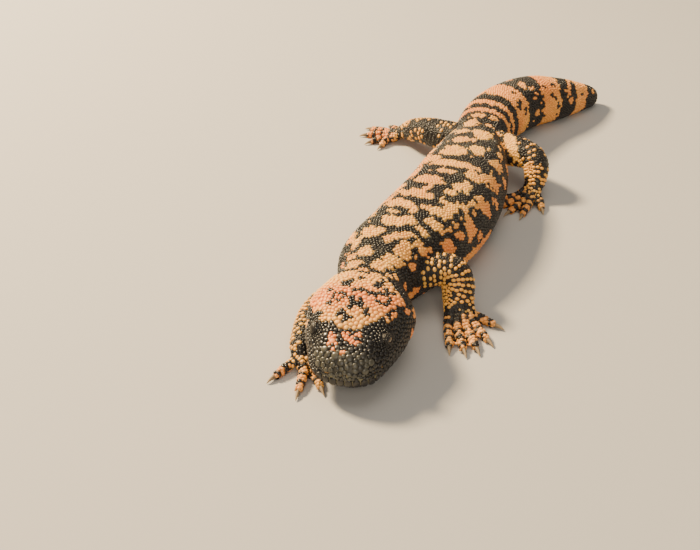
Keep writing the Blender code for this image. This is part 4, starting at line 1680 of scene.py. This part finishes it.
@dataclass
class Coat:
    """The beads as solid meshes, a few pieces, each made by Geometry Nodes on a cloud of points."""

    body: BodyMap
    skin: Skin
    markings: Markings
    beads_to_a_piece: int = 4500
    patch: float = 0.0015
    height: float = 0.90
    granule_height: float = 0.55
    boss_height: float = 1.05

    def tree(self) -> GeometryNodeTree:
        """Make the node tree that sets a bead on each point and joins them.

        Returns:
            The tree, with inputs Bead, Patch and Finish.
        """
        tree = bpy.data.node_groups.new("bead_coat", "GeometryNodeTree")
        face = tree.interface
        for label, kind in (
            ("Points", "Geometry"), ("Bead", "Object"), ("Patch", "Float"), ("Finish", "Material")
        ):
            face.new_socket(label, in_out="INPUT", socket_type=f"NodeSocket{kind}")
        face.new_socket("Beads", in_out="OUTPUT", socket_type="NodeSocketGeometry")
        given, made, bead, spread, join, store, dress, scale, place = (
            tree.nodes.new(kind)
            for kind in (
                "NodeGroupInput", "NodeGroupOutput", "GeometryNodeObjectInfo", "GeometryNodeInstanceOnPoints",
                "GeometryNodeRealizeInstances", "GeometryNodeStoreNamedAttribute", "GeometryNodeSetMaterial",
                "ShaderNodeVectorMath", "ShaderNodeVectorMath",
            )
        )
        turn, size, root, local = (
            self.named(tree, name, kind)
            for name, kind in (
                ("turn", "QUATERNION"),
                ("size", "FLOAT_VECTOR"),
                ("root", "FLOAT_VECTOR"),
                ("local", "FLOAT_VECTOR"),
            )
        )
        scale.operation = "SCALE"
        store.data_type = "FLOAT2"
        store.domain = "CORNER"
        store.inputs["Name"].default_value = "OFBake"
        for source, target in (
            (given.outputs["Points"], spread.inputs["Points"]),
            (given.outputs["Bead"], bead.inputs["Object"]),
            (bead.outputs["Geometry"], spread.inputs["Instance"]),
            (turn, spread.inputs["Rotation"]),
            (size, spread.inputs["Scale"]),
            (spread.outputs["Instances"], join.inputs["Geometry"]),
            (join.outputs["Geometry"], store.inputs["Geometry"]),
            (local, scale.inputs[0]),
            (given.outputs["Patch"], scale.inputs["Scale"]),
            (scale.outputs["Vector"], place.inputs[0]),
            (root, place.inputs[1]),
            (place.outputs["Vector"], store.inputs["Value"]),
            (store.outputs["Geometry"], dress.inputs["Geometry"]),
            (given.outputs["Finish"], dress.inputs["Material"]),
            (dress.outputs["Geometry"], made.inputs["Beads"]),
        ):
            tree.links.new(source, target)
        return tree

    @staticmethod
    def named(tree: GeometryNodeTree, name: str, kind: str) -> NodeSocket:
        """Read a named attribute.

        Args:
            tree: Tree that gets the node.
            name: The attribute's name.
            kind: Its type.

        Returns:
            The node's output.
        """
        node = tree.nodes.new("GeometryNodeInputNamedAttribute")
        node.data_type = kind
        node.inputs["Name"].default_value = name
        return next(s for s in node.outputs if s.enabled and s.name == "Attribute")

    def root_uv(self, place: Place) -> Array:
        """Place of each root on the skin's own unwrap: the body over the legs' and feet's strips.

        Args:
            place: Where the roots stand.

        Returns:
            Places on the unwrap, one to a row, with a third number of zero.
        """
        u = 0.02 + 0.96 * place.along / self.body.back.length
        v = 0.30 + 0.14 * place.turn
        around = (np.arctan2(place.spots[:, 2] - 10.0, place.side) / math.pi + 1) / 2
        leg, foot = place.on(Region.LEG), place.on(Region.FOOT)
        base = 0.02 + 0.24 * np.maximum(place.limb, 0)
        u = np.where(leg, base + 0.0032 * place.leg_along, u)
        v = np.where(leg, 0.64 + 0.15 * around, v)
        u = np.where(foot, base + 0.042 * np.maximum(place.toe, 0) + 0.038 * around, u)
        v = np.where(foot, 0.82 + 0.006 * place.toe_along, v)
        return np.column_stack([u, np.clip(v, 0.01, 0.99), np.zeros(len(u))])

    def frames(self, beads: Beads, place: Place) -> Array:
        """Turn of each bead.

        Args:
            beads: The beads.
            place: Where they stand.

        Returns:
            One quaternion to a row.
        """
        tree = nearest(self.skin.corners)
        normals = self.skin.normals[[tree.find(spot)[1] for spot in beads.spots]]
        ahead = self.body.back.ahead(place.along, 5.0)
        for k, leg in enumerate(self.body.legs):
            mine = place.limb == k
            if mine.any():
                ahead[mine] = leg.ahead(place.leg_along[mine])
            for number, line in enumerate(self.body.toes[k]):
                mine = (place.limb == k) & (place.toe == number) & (place.toe_along > 5)
                if mine.any():
                    ahead[mine] = line.ahead(place.toe_along[mine])
        own = np.linalg.norm(beads.out, axis=1) > 0.5
        normals[own] = beads.out[own]
        given = np.linalg.norm(beads.lie, axis=1) > 0.5
        ahead[given] = beads.lie[given]
        along = ahead - normals * (ahead * normals).sum(1, keepdims=True)
        weak = np.linalg.norm(along, axis=1) < 0.15
        along[weak] = np.cross(normals[weak], (0.3, 0.5, 0.81))
        along = unit(along)
        across = np.cross(normals, along)
        turns = [Matrix(np.array(axes).T.tolist()).to_quaternion() for axes in zip(along, across, normals)]
        return np.array(turns)

    def sizes(self, beads: Beads, place: Place, rng: np.random.Generator) -> Array:
        """Half sizes of each bead along, across and outwards.

        Args:
            beads: The beads.
            place: Where they stand.
            rng: The source of the draws.

        Returns:
            Three sizes to a row.
        """
        count = len(beads.pitch)
        half = 0.475 * beads.pitch * rng.uniform(0.93, 1.06, count)
        along, across = half.copy(), half.copy()
        height = self.height * rng.uniform(0.85, 1.05, count)
        head, foot = place.on(Region.HEAD), place.on(Region.FOOT)
        height *= 1 - 0.55 * ramp(np.abs(place.turn), 1.2, 1.5) * place.on(Region.BODY)
        legs = beads.are(Kind.LEG)
        along[legs] *= 0.86
        across[legs] *= 1.16
        squeeze = rng.uniform(0.87, 1.13, count)
        loose = head & beads.are(Kind.FREE)
        tree = nearest(beads.spots)
        for i in np.flatnonzero(loose):
            away = sum(found[2] for found in tree.find_n(beads.spots[i], 6)[1:]) / 5
            along[i] = across[i] = np.clip(0.50 * away, 0.44 * beads.pitch[i], 0.62 * beads.pitch[i])
        along[loose] *= squeeze[loose]
        across[loose] /= squeeze[loose]
        height[beads.are(Kind.GRANULE)] = self.granule_height
        height[foot] *= 0.62
        across[foot] *= 1.15
        height[(place.spots[:, 2] < 1.6) & ~head] *= 0.6
        for kind, sizes in OWN_SIZES.items():
            mine = beads.are(kind)
            along[mine], across[mine], height[mine] = sizes
        lip = beads.are(Kind.UPPER_LIP)
        at, _ = HEAD.read(self.body, beads.spots[lip])
        across[lip] += 0.6 * ramp(at, 16.0, 4.0)
        boss = beads.are(Kind.BOSS)
        height[boss] = self.boss_height
        along[boss] = across[boss] = 0.49 * beads.pitch[boss]
        return np.column_stack([along, across, height])

    def pattern(self, beads: Beads, place: Place, rng: np.random.Generator) -> Pattern:
        """Pattern of the beads.

        Args:
            beads: The beads.
            place: Where they stand.
            rng: The source of the draws.

        Returns:
            Their pattern.
        """
        pattern = self.markings.read(place)
        pattern.light[beads.are(Kind.LEG) & (self.markings.clumps(place) > 0)] = 1.0
        lips = beads.are(Kind.UPPER_LIP, Kind.LOWER_LIP)
        pattern.light[lips | beads.are(Kind.LID, Kind.LID_EDGE)] = 0.0
        pattern.shade[lips] *= 0.45
        pattern.shade = np.clip(pattern.shade + rng.normal(0, 0.16, len(pattern.shade)), 0, 1)
        return pattern

    def dye(self, skin: Object, beads: Beads, pattern: Pattern) -> None:
        """Give the skin the pattern of its nearest beads, and pale seams between the lip shields.

        Args:
            skin: The skin's object.
            beads: The beads.
            pattern: Their pattern.
        """
        tree = nearest(beads.spots)
        near = [tree.find(corner)[1] for corner in self.skin.corners]
        at, _ = HEAD.read(self.body, self.skin.corners)
        off = self.skin.corners[:, 2] - HEAD.mouth_height(at)
        reach = 7.4 + 5.0 * (at < 9) * noise(self.skin.corners, 3.0, seed=55)
        seam = (at < 15) & (off > 1.2) & (off < reach)
        place = self.body.place(self.skin.corners)
        limb = (place.limb >= 0) & (place.toe_along < 7.5) & ~self.markings.fold(place.spots)
        light = np.where(limb, 0.0, pattern.light[near])
        numbers(skin.data, "light", np.where(seam, 0.7, light))
        numbers(skin.data, "tone", np.where(seam, 1.0, pattern.tone[near]))
        numbers(skin.data, "shade", pattern.shade[near])

    def build(
        self, beads: Beads, finish: Material, skin: Object
    ) -> list[Object]:
        """Make the coat, and dye the skin under it alike.

        Args:
            beads: Where the beads stand.
            finish: Their material.
            skin: The skin's object.

        Returns:
            The coat's pieces.
        """
        rng = np.random.default_rng(SEED + 1)
        place = self.body.place(beads.spots)
        pattern = self.pattern(beads, place, rng)
        self.dye(skin, beads, pattern)
        turns = self.frames(beads, place)
        sizes = self.sizes(beads, place, rng)
        roots = self.root_uv(place)
        shields = beads.are(Kind.UPPER_LIP, Kind.LOWER_LIP, Kind.SCUTE)
        head = place.on(Region.HEAD) & ~shields
        tree = self.tree()
        pieces = []
        shapes = {
            "plates": (HEAD_PLATE, head),
            "beads": (ROUND_BEAD, ~head & ~shields),
            "shields": (SHIELD, shields),
        }
        for kind, (shape, wanted) in shapes.items():
            bead = shape.build(f"one_of_{kind}")
            order = np.flatnonzero(wanted)
            order = order[np.argsort(place.along[order], kind="stable")]
            parts = max(1, math.ceil(len(order) / self.beads_to_a_piece))
            for number, rows in enumerate(np.array_split(order, parts)):
                name = f"coat_{kind}_{number + 1}"
                points = mesh_object(name, beads.spots[rows], [])
                data = points.data
                turn = data.attributes.new("turn", "QUATERNION", "POINT")
                turn.data.foreach_set("value", turns[rows].astype(np.float32).ravel())
                vectors(data, "size", sizes[rows] * MM)
                vectors(data, "root", roots[rows])
                for label in ("light", "tone", "shade"):
                    numbers(data, label, getattr(pattern, label)[rows])
                pieces.append(self.realize(points, tree, bead, finish))
                log.info("%s: %d beads, %d faces", name, len(rows), len(points.data.polygons))
            bpy.data.objects.remove(bead)
        return pieces

    def realize(
        self,
        points: Object,
        tree: GeometryNodeTree,
        bead: Object,
        finish: Material,
    ) -> Object:
        """Turn a cloud of points into plain bead meshes.

        Args:
            points: The cloud.
            tree: The node tree.
            bead: One bead.
            finish: Material of the beads.

        Returns:
            The cloud's object, with the beads as its mesh.
        """
        modifier = points.modifiers.new("beads", "NODES")
        modifier.node_group = tree
        sockets = {s.name: s.identifier for s in tree.interface.items_tree if s.in_out == "INPUT"}
        modifier[sockets["Bead"]] = bead
        modifier[sockets["Patch"]] = self.patch
        modifier[sockets["Finish"]] = finish
        mesh = plain_mesh(points)
        points.modifiers.clear()
        points.data = mesh
        for label in ("turn", "size", "root", "local"):
            if label in mesh.attributes:
                mesh.attributes.remove(mesh.attributes[label])
        mesh.shade_smooth()
        return points


def shader_group(name: str, inputs: dict, outputs: dict) -> ShaderNodeTree:
    """A new, empty shader group.

    Args:
        name: Name of the group.
        inputs: Socket type and value of each input.
        outputs: Socket type of each output.

    Returns:
        The group.
    """
    group = bpy.data.node_groups.new(name, "ShaderNodeTree")
    for label, (kind, value) in inputs.items():
        socket = group.interface.new_socket(label, in_out="INPUT", socket_type=kind)
        if value is not None:
            socket.default_value = value
    for label, kind in outputs.items():
        group.interface.new_socket(label, in_out="OUTPUT", socket_type=kind)
    return group


def feed(tree: NodeTree, socket: NodeSocket, value: object) -> None:
    """Link a socket to another, or give it a plain number or colour.

    Args:
        tree: Tree of both.
        socket: The socket to feed.
        value: Socket, number or colour.
    """
    if isinstance(value, NodeSocket):
        tree.links.new(value, socket)
    else:
        socket.default_value = (*value, 1.0) if isinstance(value, tuple) else value


def mixed(tree: NodeTree, factor: object, a: object, b: object, way: str = "MIX") -> object:
    """Mix two colours, each a socket or a plain colour.

    Args:
        tree: Tree that gets the node.
        factor: How much of the second.
        a: The first.
        b: The second.
        way: Blender's name of the mix.

    Returns:
        The node's colour output.
    """
    node = tree.nodes.new("ShaderNodeMix")
    node.data_type = "RGBA"
    node.blend_type = way
    for socket, value in zip([s for s in node.inputs if s.enabled], (factor, a, b)):
        feed(tree, socket, value)
    return next(s for s in node.outputs if s.enabled)


def counted(tree: NodeTree, operation: str, *values: object, clamp: bool = False) -> object:
    """Count with numbers, each a socket or a plain number.

    Args:
        tree: Tree that gets the node.
        operation: Blender's name of the sum.
        values: The numbers, in the sum's order.
        clamp: Whether the result stays between 0 and 1.

    Returns:
        The node's output.
    """
    node = tree.nodes.new("ShaderNodeMath")
    node.operation = operation
    node.use_clamp = clamp
    for socket, value in zip(node.inputs, values):
        feed(tree, socket, value)
    return node.outputs[0]


def attribute(tree: ShaderNodeTree, name: str) -> NodeSocket:
    """Read a number kept on the mesh.

    Args:
        tree: Tree that gets the node.
        name: The attribute's name.

    Returns:
        The node's output.
    """
    node = tree.nodes.new("ShaderNodeAttribute")
    node.attribute_type = "GEOMETRY"
    node.attribute_name = name
    return node.outputs["Fac"]


def grain(tree: ShaderNodeTree, scale: float, detail: float = 2.0) -> NodeSocket:
    """Noise on the object's own coordinates.

    Args:
        tree: Tree that gets the nodes.
        scale: Waves to a metre.
        detail: How many finer waves lie over them.

    Returns:
        The noise's output.
    """
    place = tree.nodes.new("ShaderNodeTexCoord")
    node = tree.nodes.new("ShaderNodeTexNoise")
    node.inputs["Scale"].default_value = scale
    node.inputs["Detail"].default_value = detail
    tree.links.new(place.outputs["Object"], node.inputs["Vector"])
    return node.outputs["Fac"]


def pressed(
    tree: NodeTree, shader: Node, relief: object, strength: float, depth: float
) -> None:
    """Give a shader a fine relief.

    Args:
        tree: Tree of the shader.
        shader: The shader.
        relief: Output that gives the height.
        strength: How much of it shows.
        depth: Its depth in metres.
    """
    press = tree.nodes.new("ShaderNodeBump")
    press.inputs["Strength"].default_value = strength
    press.inputs["Distance"].default_value = depth
    tree.links.new(relief, press.inputs["Height"])
    tree.links.new(press.outputs["Normal"], shader.inputs["Normal"])


# Tones of the pale beads: salmon, peach, light peach, orange and cream.
TONES = (
    (0.0, (0.96, 0.25, 0.07)),
    (0.25, (0.98, 0.37, 0.085)),
    (0.5, (1.0, 0.55, 0.12)),
    (0.75, (0.98, 0.42, 0.05)),
    (1.0, (0.36, 0.32, 0.18)),
)
BLACK = (0.0045, 0.0035, 0.003)
WORN_BLACK = (0.070, 0.066, 0.048)
# Painted shade: the dark colour mixed in low on each bead and on the skin between the beads.
BEAD_FOOT_SHADE = (0.020, 0.012, 0.008)


def coat_colour_group() -> ShaderNodeTree:
    """Make the group that turns the pattern's numbers into a colour, with painted shade low on each bead.

    Returns:
        The group, with inputs Light, Tone, Shade and Rise.
    """
    kind = "NodeSocketFloat"
    group = shader_group(
        "gila_colours",
        {"Light": (kind, 0.0), "Tone": (kind, 0.4), "Shade": (kind, 0.5), "Rise": (kind, 1.0)},
        {"Colour": "NodeSocketColor"},
    )
    given, made = group.nodes.new("NodeGroupInput"), group.nodes.new("NodeGroupOutput")
    tones = group.nodes.new("ShaderNodeValToRGB")
    stops = tones.color_ramp.elements
    while len(stops) < len(TONES):
        stops.new(0.5)
    for stop, (at, colour) in zip(stops, TONES):
        stop.position = at
        stop.color = (*colour, 1.0)
    light, tone, shade, rise = (given.outputs[label] for label in ("Light", "Tone", "Shade", "Rise"))
    group.links.new(tone, tones.inputs["Fac"])
    lift = counted(group, "MULTIPLY_ADD", shade, 0.30, 0.82)
    pale = mixed(group, 1.0, tones.outputs["Color"], lift, "MULTIPLY")
    dark = mixed(group, counted(group, "POWER", shade, 4.0), BLACK, WORN_BLACK)
    colour = mixed(group, light, dark, pale)
    # Painted shade: darker towards each bead's foot, where the beads meet, and more on dark beads than on pale
    # ones.
    low = counted(group, "POWER", counted(group, "SUBTRACT", 1.0, rise), 2.0)
    depth = counted(group, "MULTIPLY_ADD", light, -0.45, 0.80)
    low = counted(group, "MULTIPLY", low, depth, clamp=True)
    group.links.new(mixed(group, low, colour, BEAD_FOOT_SHADE), made.inputs["Colour"])
    return group


@dataclass(frozen=True)
class Finish:
    """A plain finish on one shader."""

    name: str
    colour: tuple[float, float, float]
    roughness: float
    coat: float = 0.0

    def start(self) -> tuple[Material, Node]:
        """Make the material with its plain values set.

        Returns:
            The material and its shader.
        """
        material = bpy.data.materials.new(self.name)
        material.use_nodes = True
        shader = material.node_tree.nodes["Principled BSDF"]
        shader.inputs["Base Color"].default_value = (*self.colour, 1.0)
        shader.inputs["Roughness"].default_value = self.roughness
        shader.inputs["Coat Weight"].default_value = self.coat
        shader.inputs["Coat Roughness"].default_value = 0.12
        return material, shader


@dataclass(frozen=True)
class BeadFinish(Finish):
    """Glossy dark and duller pale horn beads, with painted shade round each bead's foot and a fine grain."""

    pale_matte: float = 0.12
    grain_scale: float = 1800.0
    grain_depth: float = 0.00004
    speckle_scale: float = 260.0
    # The skin between the beads is coloured as if it lay low on a bead, so it gets painted shade.
    skin_rise: float = 0.35

    def material(self, group: ShaderNodeTree, beads: bool) -> Material:
        """Make the material.

        Args:
            group: The group that gives the colours.
            beads: Whether it is for the beads, or for the skin under them.

        Returns:
            The material.
        """
        material, shader = self.start()
        tree = material.node_tree
        colours = tree.nodes.new("ShaderNodeGroup")
        colours.node_tree = group
        for label in ("light", "tone", "shade"):
            tree.links.new(attribute(tree, label), colours.inputs[label.capitalize()])
        # Height on each bead drives the painted shade at its foot; the skin gets one low height, so it is
        # painted darker in the gaps.
        if beads:
            tree.links.new(attribute(tree, "rise"), colours.inputs["Rise"])
        else:
            colours.inputs["Rise"].default_value = self.skin_rise
        fine = grain(tree, self.grain_scale, 3.0)
        broad = grain(tree, self.speckle_scale, 2.0)
        spotted = mixed(tree, 0.22, colours.outputs["Colour"], broad, "OVERLAY")
        tree.links.new(spotted, shader.inputs["Base Color"])
        light = attribute(tree, "light")
        rough = counted(tree, "MULTIPLY_ADD", fine, 0.22, self.roughness - 0.11)
        matte = counted(tree, "MULTIPLY", light, self.pale_matte)
        tree.links.new(counted(tree, "ADD", rough, matte), shader.inputs["Roughness"])
        if self.coat:
            wet = counted(tree, "MULTIPLY_ADD", light, -0.8 * self.coat, self.coat)
            tree.links.new(wet, shader.inputs["Coat Weight"])
        pressed(tree, shader, fine, 0.6, self.grain_depth)
        return material


@dataclass(frozen=True)
class ClawFinish(Finish):
    """Horn that is dark at the root, with fine lengthwise streaks."""

    root_colour: tuple[float, float, float] = (0.05, 0.038, 0.026)
    grain_depth: float = 0.00006

    def material(self) -> Material:
        """Make the material.

        Returns:
            The material.
        """
        material, shader = self.start()
        tree = material.node_tree
        streaks = grain(tree, 900.0, 3.0)
        worn = mixed(tree, attribute(tree, "tip"), self.root_colour, self.colour)
        tree.links.new(mixed(tree, 0.35, worn, streaks, "OVERLAY"), shader.inputs["Base Color"])
        rough = counted(tree, "MULTIPLY_ADD", streaks, 0.25, self.roughness - 0.1)
        tree.links.new(rough, shader.inputs["Roughness"])
        pressed(tree, shader, streaks, 0.5, self.grain_depth)
        return material


@dataclass(frozen=True)
class EyeFinish(Finish):
    """Near-black eye with a deep brown ring round the pupil, under a wet coat."""

    iris: tuple[float, float, float] = (0.085, 0.045, 0.020)

    def material(self) -> Material:
        """Make the material.

        Returns:
            The material.
        """
        material, shader = self.start()
        tree = material.node_tree
        ring = mixed(tree, attribute(tree, "iris"), self.colour, self.iris)
        speckled = mixed(tree, 0.5, ring, grain(tree, 1500.0, 3.0), "OVERLAY")
        tree.links.new(speckled, shader.inputs["Base Color"])
        return material


def lofted(rings: list[Array]) -> tuple[Array, list]:
    """Close a tube through rings, with a fan over each end.

    Args:
        rings: The rings' corners, from one end to the other.

    Returns:
        Corners and faces.
    """
    sides = len(rings[0])
    corners = np.vstack([*rings, rings[0].mean(0), rings[-1].mean(0)])
    faces = ring_quads(len(rings), sides)
    last = (len(rings) - 1) * sides
    for k in range(sides):
        j = (k + 1) % sides
        faces += [(j, k, len(corners) - 2), (last + k, last + j, len(corners) - 1)]
    return corners, faces


@dataclass
class Claws:
    """One curved claw on each toe, rooted in the toe's end."""

    body: BodyMap
    sides: int = 12
    rings: int = 9
    root_depth: float = 2.6
    root_half_width: float = 1.25
    root_half_depth: float = 1.5

    def build(self, finish: Material) -> list[Object]:
        """Make all claws.

        Args:
            finish: Their horn.

        Returns:
            One piece for each claw.
        """
        made = []
        for k, limb in enumerate(LIMBS):
            for number, (toe, line) in enumerate(zip(limb.toes, self.body.toes[k])):
                node = f"claw_{limb.nodes[2]}_{number + 1}"
                piece = self.claw(node, line, toe.claw)
                piece.data.materials.append(finish)
                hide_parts(node)
                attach(piece, ROOT)
                made.append(piece)
        log.info("claws: %d", len(made))
        return made

    def claw(self, node: str, line: Line, length: float) -> Object:
        """Make one claw, on the end of a toe's line.

        Args:
            node: Name of the node that it replaces.
            line: The toe's line.
            length: How far it reaches past the toe.

        Returns:
            The claw's object.
        """
        base = line.point(line.length)[0]
        ahead = line.ahead(line.length)[0]
        level = unit(np.array([ahead[0], ahead[1], 0.0]))
        side = np.cross(level, (0, 0, 1))
        shares = np.linspace(0, 1, self.rings)
        angle = 2 * math.pi * np.arange(self.sides) / self.sides
        rings = []
        for share in shares:
            out = share * (length + self.root_depth) - self.root_depth
            part = max(0.0, out) / length
            centre = base + level * out + np.array([0, 0, 0.25 * math.sin(math.pi * part) - 1.25 * part**2])
            taper = (1 - part) ** 0.8 * 0.92 + 0.08
            ring = centre + np.outer(np.cos(angle) * self.root_half_width * taper, side)
            ring = ring + np.outer(np.sin(angle) * self.root_half_depth * taper, (0, 0, 1))
            ring[:, 2] = np.maximum(ring[:, 2], 0.05)
            rings.append(ring)
        obj = mesh_object(f"{node}_horn", *lofted(rings))
        obj.data.shade_smooth()
        numbers(obj.data, "tip", np.concatenate([np.repeat(shares, self.sides), [0.0, 1.0]]))
        return obj


@dataclass
class Eyes:
    """Glossy eyeballs in low lids. A ring of a lid is given by how much wider it is and by its radius."""

    body: BodyMap
    ball_rings: int = 20
    lid_steps: int = 40
    opening_half_length: float = 2.25
    opening_half_height: float = 1.25
    lid_thickness: float = 0.35
    lid_rings: tuple[tuple[float, float], ...] = (
        (-0.12, 3.22), (-0.05, 3.42), (0.12, LID_RADIUS), (0.7, LID_RADIUS), (1.4, 3.6), (2.2, 3.5),
    )

    def build(self, eye: Material, lid: Material) -> None:
        """Make both eyes and their lids.

        Args:
            eye: Finish of the eyeballs.
            lid: Finish of the lids.
        """
        _, along, left = HEAD.axes(self.body)
        for name, side in zip(EYE_NODES, (1.0, -1.0)):
            low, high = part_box(name)
            radius = (high.z - low.z) / 2 / MM
            axes = Lids.facing(middle_of(name), along, left * side)
            piece = self.eyeball(name, radius, axes)
            piece.data.materials.append(eye)
            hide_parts(name)
            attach(piece, ROOT)
            lids = self.lids(f"lids_{name[4:]}", axes)
            lids.data.materials.append(lid)
            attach(lids, ROOT)
            log.info("%s and its lids", name)

    def eyeball(self, name: str, radius: float, axes: Lids) -> Object:
        """Make one eyeball, with how far each corner lies in the iris's ring.

        Args:
            name: Name of the eye's node.
            radius: Radius of the ball.
            axes: The axes of its lids.

        Returns:
            The eyeball's object.
        """
        corners, faces = ball(axes.centre, (radius,) * 3, self.ball_rings)
        obj = mesh_object(f"{name}_ball", corners, faces)
        obj.data.shade_smooth()
        away = np.degrees(np.arccos(np.clip(unit(corners - axes.centre) @ axes.out, -1, 1)))
        numbers(obj.data, "iris", ramp(away, 14, 18) * ramp(away, 36, 30))
        return obj

    def lids(self, name: str, axes: Lids) -> Object:
        """Make a low dome with an almond opening, from its rolled edge down into the skin.

        Args:
            name: Name of the piece.
            axes: The axes of the lids.

        Returns:
            The dome's object.
        """
        angle = 2 * math.pi * np.arange(self.lid_steps) / self.lid_steps
        rings = []
        for wider, radius in self.lid_rings:
            forward = powered(np.cos(angle), 0.9) * (self.opening_half_length + wider)
            over = np.sin(angle) * (self.opening_half_height + wider * 1.1)
            off = np.hypot(forward, over)
            shrink = np.minimum(1.0, 0.98 * radius / off)
            rings.append(axes.on_dome(forward * shrink, over * shrink, radius))
        obj = mesh_object(name, np.vstack(rings), ring_quads(len(rings), self.lid_steps))
        thick = obj.modifiers.new("thickness", "SOLIDIFY")
        thick.thickness = self.lid_thickness * MM
        thick.offset = -1.0
        obj.data = plain_mesh(obj)
        obj.modifiers.clear()
        made = bmesh.new()
        made.from_mesh(obj.data)
        bmesh.ops.recalc_face_normals(made, faces=made.faces)
        made.to_mesh(obj.data)
        made.free()
        obj.data.shade_smooth()
        count = len(obj.data.vertices)
        numbers(obj.data, "light", np.zeros(count))
        numbers(obj.data, "tone", np.full(count, 0.3))
        numbers(obj.data, "shade", np.full(count, 0.5))
        return obj


@dataclass
class Studio:
    """Pale floor, soft lights and the camera at the photograph's viewing angle."""

    camera_spot: tuple[float, float, float] = (179.43, -501.62, 362.0)
    camera_azimuth: float = 25.5
    camera_drop: float = 35.0
    lens: float = 51.43

    def build(self) -> None:
        """Make floor, lights, backdrop colour and camera."""
        self.floor()
        self.lights()
        self.camera()
        log.info("studio")

    def floor(self) -> None:
        """Wide plain floor just under the animal."""
        half = 3000.0
        corners = np.array([(-half, -half, 0), (half, -half, 0), (half, half, 0), (-half, half, 0)])
        obj = mesh_object("floor", corners, [(0, 1, 2, 3)])
        material = bpy.data.materials.new("pale_floor")
        material.use_nodes = True
        shader = material.node_tree.nodes["Principled BSDF"]
        shader.inputs["Base Color"].default_value = (0.50, 0.49, 0.47, 1.0)
        shader.inputs["Roughness"].default_value = 0.85
        obj.data.materials.append(material)

    def light(self, name: str, spot: tuple, size: float, power: float, colour: tuple) -> None:
        """Add one square area light that faces the animal.

        Args:
            name: Its name.
            spot: Its place in metres.
            size: Its side in metres.
            power: Its power in watts.
            colour: Its colour.
        """
        data = bpy.data.lights.new(name, "AREA")
        data.shape = "SQUARE"
        data.size = size
        data.energy = power
        data.color = colour
        obj = in_scene(name, data)
        obj.location = spot
        obj.rotation_euler = (-Vector(spot)).to_track_quat("-Z", "Y").to_euler()

    def lights(self) -> None:
        """Warm key from behind on the left of the picture, a soft fill and a pale surround."""
        self.light("key", (-1.25, 0.15, 1.2), 0.32, 108.0, (1.0, 0.76, 0.45))
        self.light("fill", (0.6, -1.4, 0.9), 1.2, 12.0, (1.0, 0.90, 0.76))
        self.light("top", (0.0, 0.2, 1.8), 1.2, 10.0, (1.0, 0.88, 0.72))
        world = bpy.data.worlds.new("surround")
        bpy.context.scene.world = world
        world.use_nodes = True
        world.node_tree.nodes["Background"].inputs["Color"].default_value = (1.0, 0.92, 0.82, 1.0)
        world.node_tree.nodes["Background"].inputs["Strength"].default_value = 0.26

    def camera(self) -> None:
        """Camera at the photograph's place and viewing angle."""
        data = bpy.data.cameras.new("camera")
        data.lens = self.lens
        data.sensor_width = 36.0
        data.sensor_fit = "HORIZONTAL"
        obj = in_scene("camera", data)
        obj.location = (np.array(self.camera_spot) - BOX_MIDDLE) * MM
        obj.rotation_euler = (math.radians(90 - self.camera_drop), 0.0, math.radians(self.camera_azimuth))
        bpy.context.scene.camera = obj


def main() -> None:
    """Build the skin, its beads, the eyes and claws, and the studio."""
    logging.basicConfig(level=logging.INFO, format="%(message)s")
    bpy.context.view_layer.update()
    body = BodyMap()
    markings = Markings()
    group = coat_colour_group()
    skin_finish = BeadFinish("gila_skin", (0.1, 0.07, 0.05), 0.55).material(group, beads=False)
    bead_finish = BeadFinish("gila_beads", (0.1, 0.07, 0.05), 0.34, 0.25).material(group, beads=True)
    skin = Skin()
    skin_piece = skin.build(body)
    skin_piece.data.materials.append(skin_finish)
    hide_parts(*FLESH)
    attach(skin_piece, ROOT)
    beads = BeadLayout(body, skin).build()
    for piece in Coat(body, skin, markings).build(beads, bead_finish, skin_piece):
        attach(piece, ROOT)
    Eyes(body).build(EyeFinish("wet_eye", (0.004, 0.003, 0.002), 0.06, 1.0).material(), skin_finish)
    Claws(body).build(ClawFinish("claw_horn_worn", (0.46, 0.32, 0.17), 0.55).material())
    Studio().build()


if __name__ == "__main__":
    main()
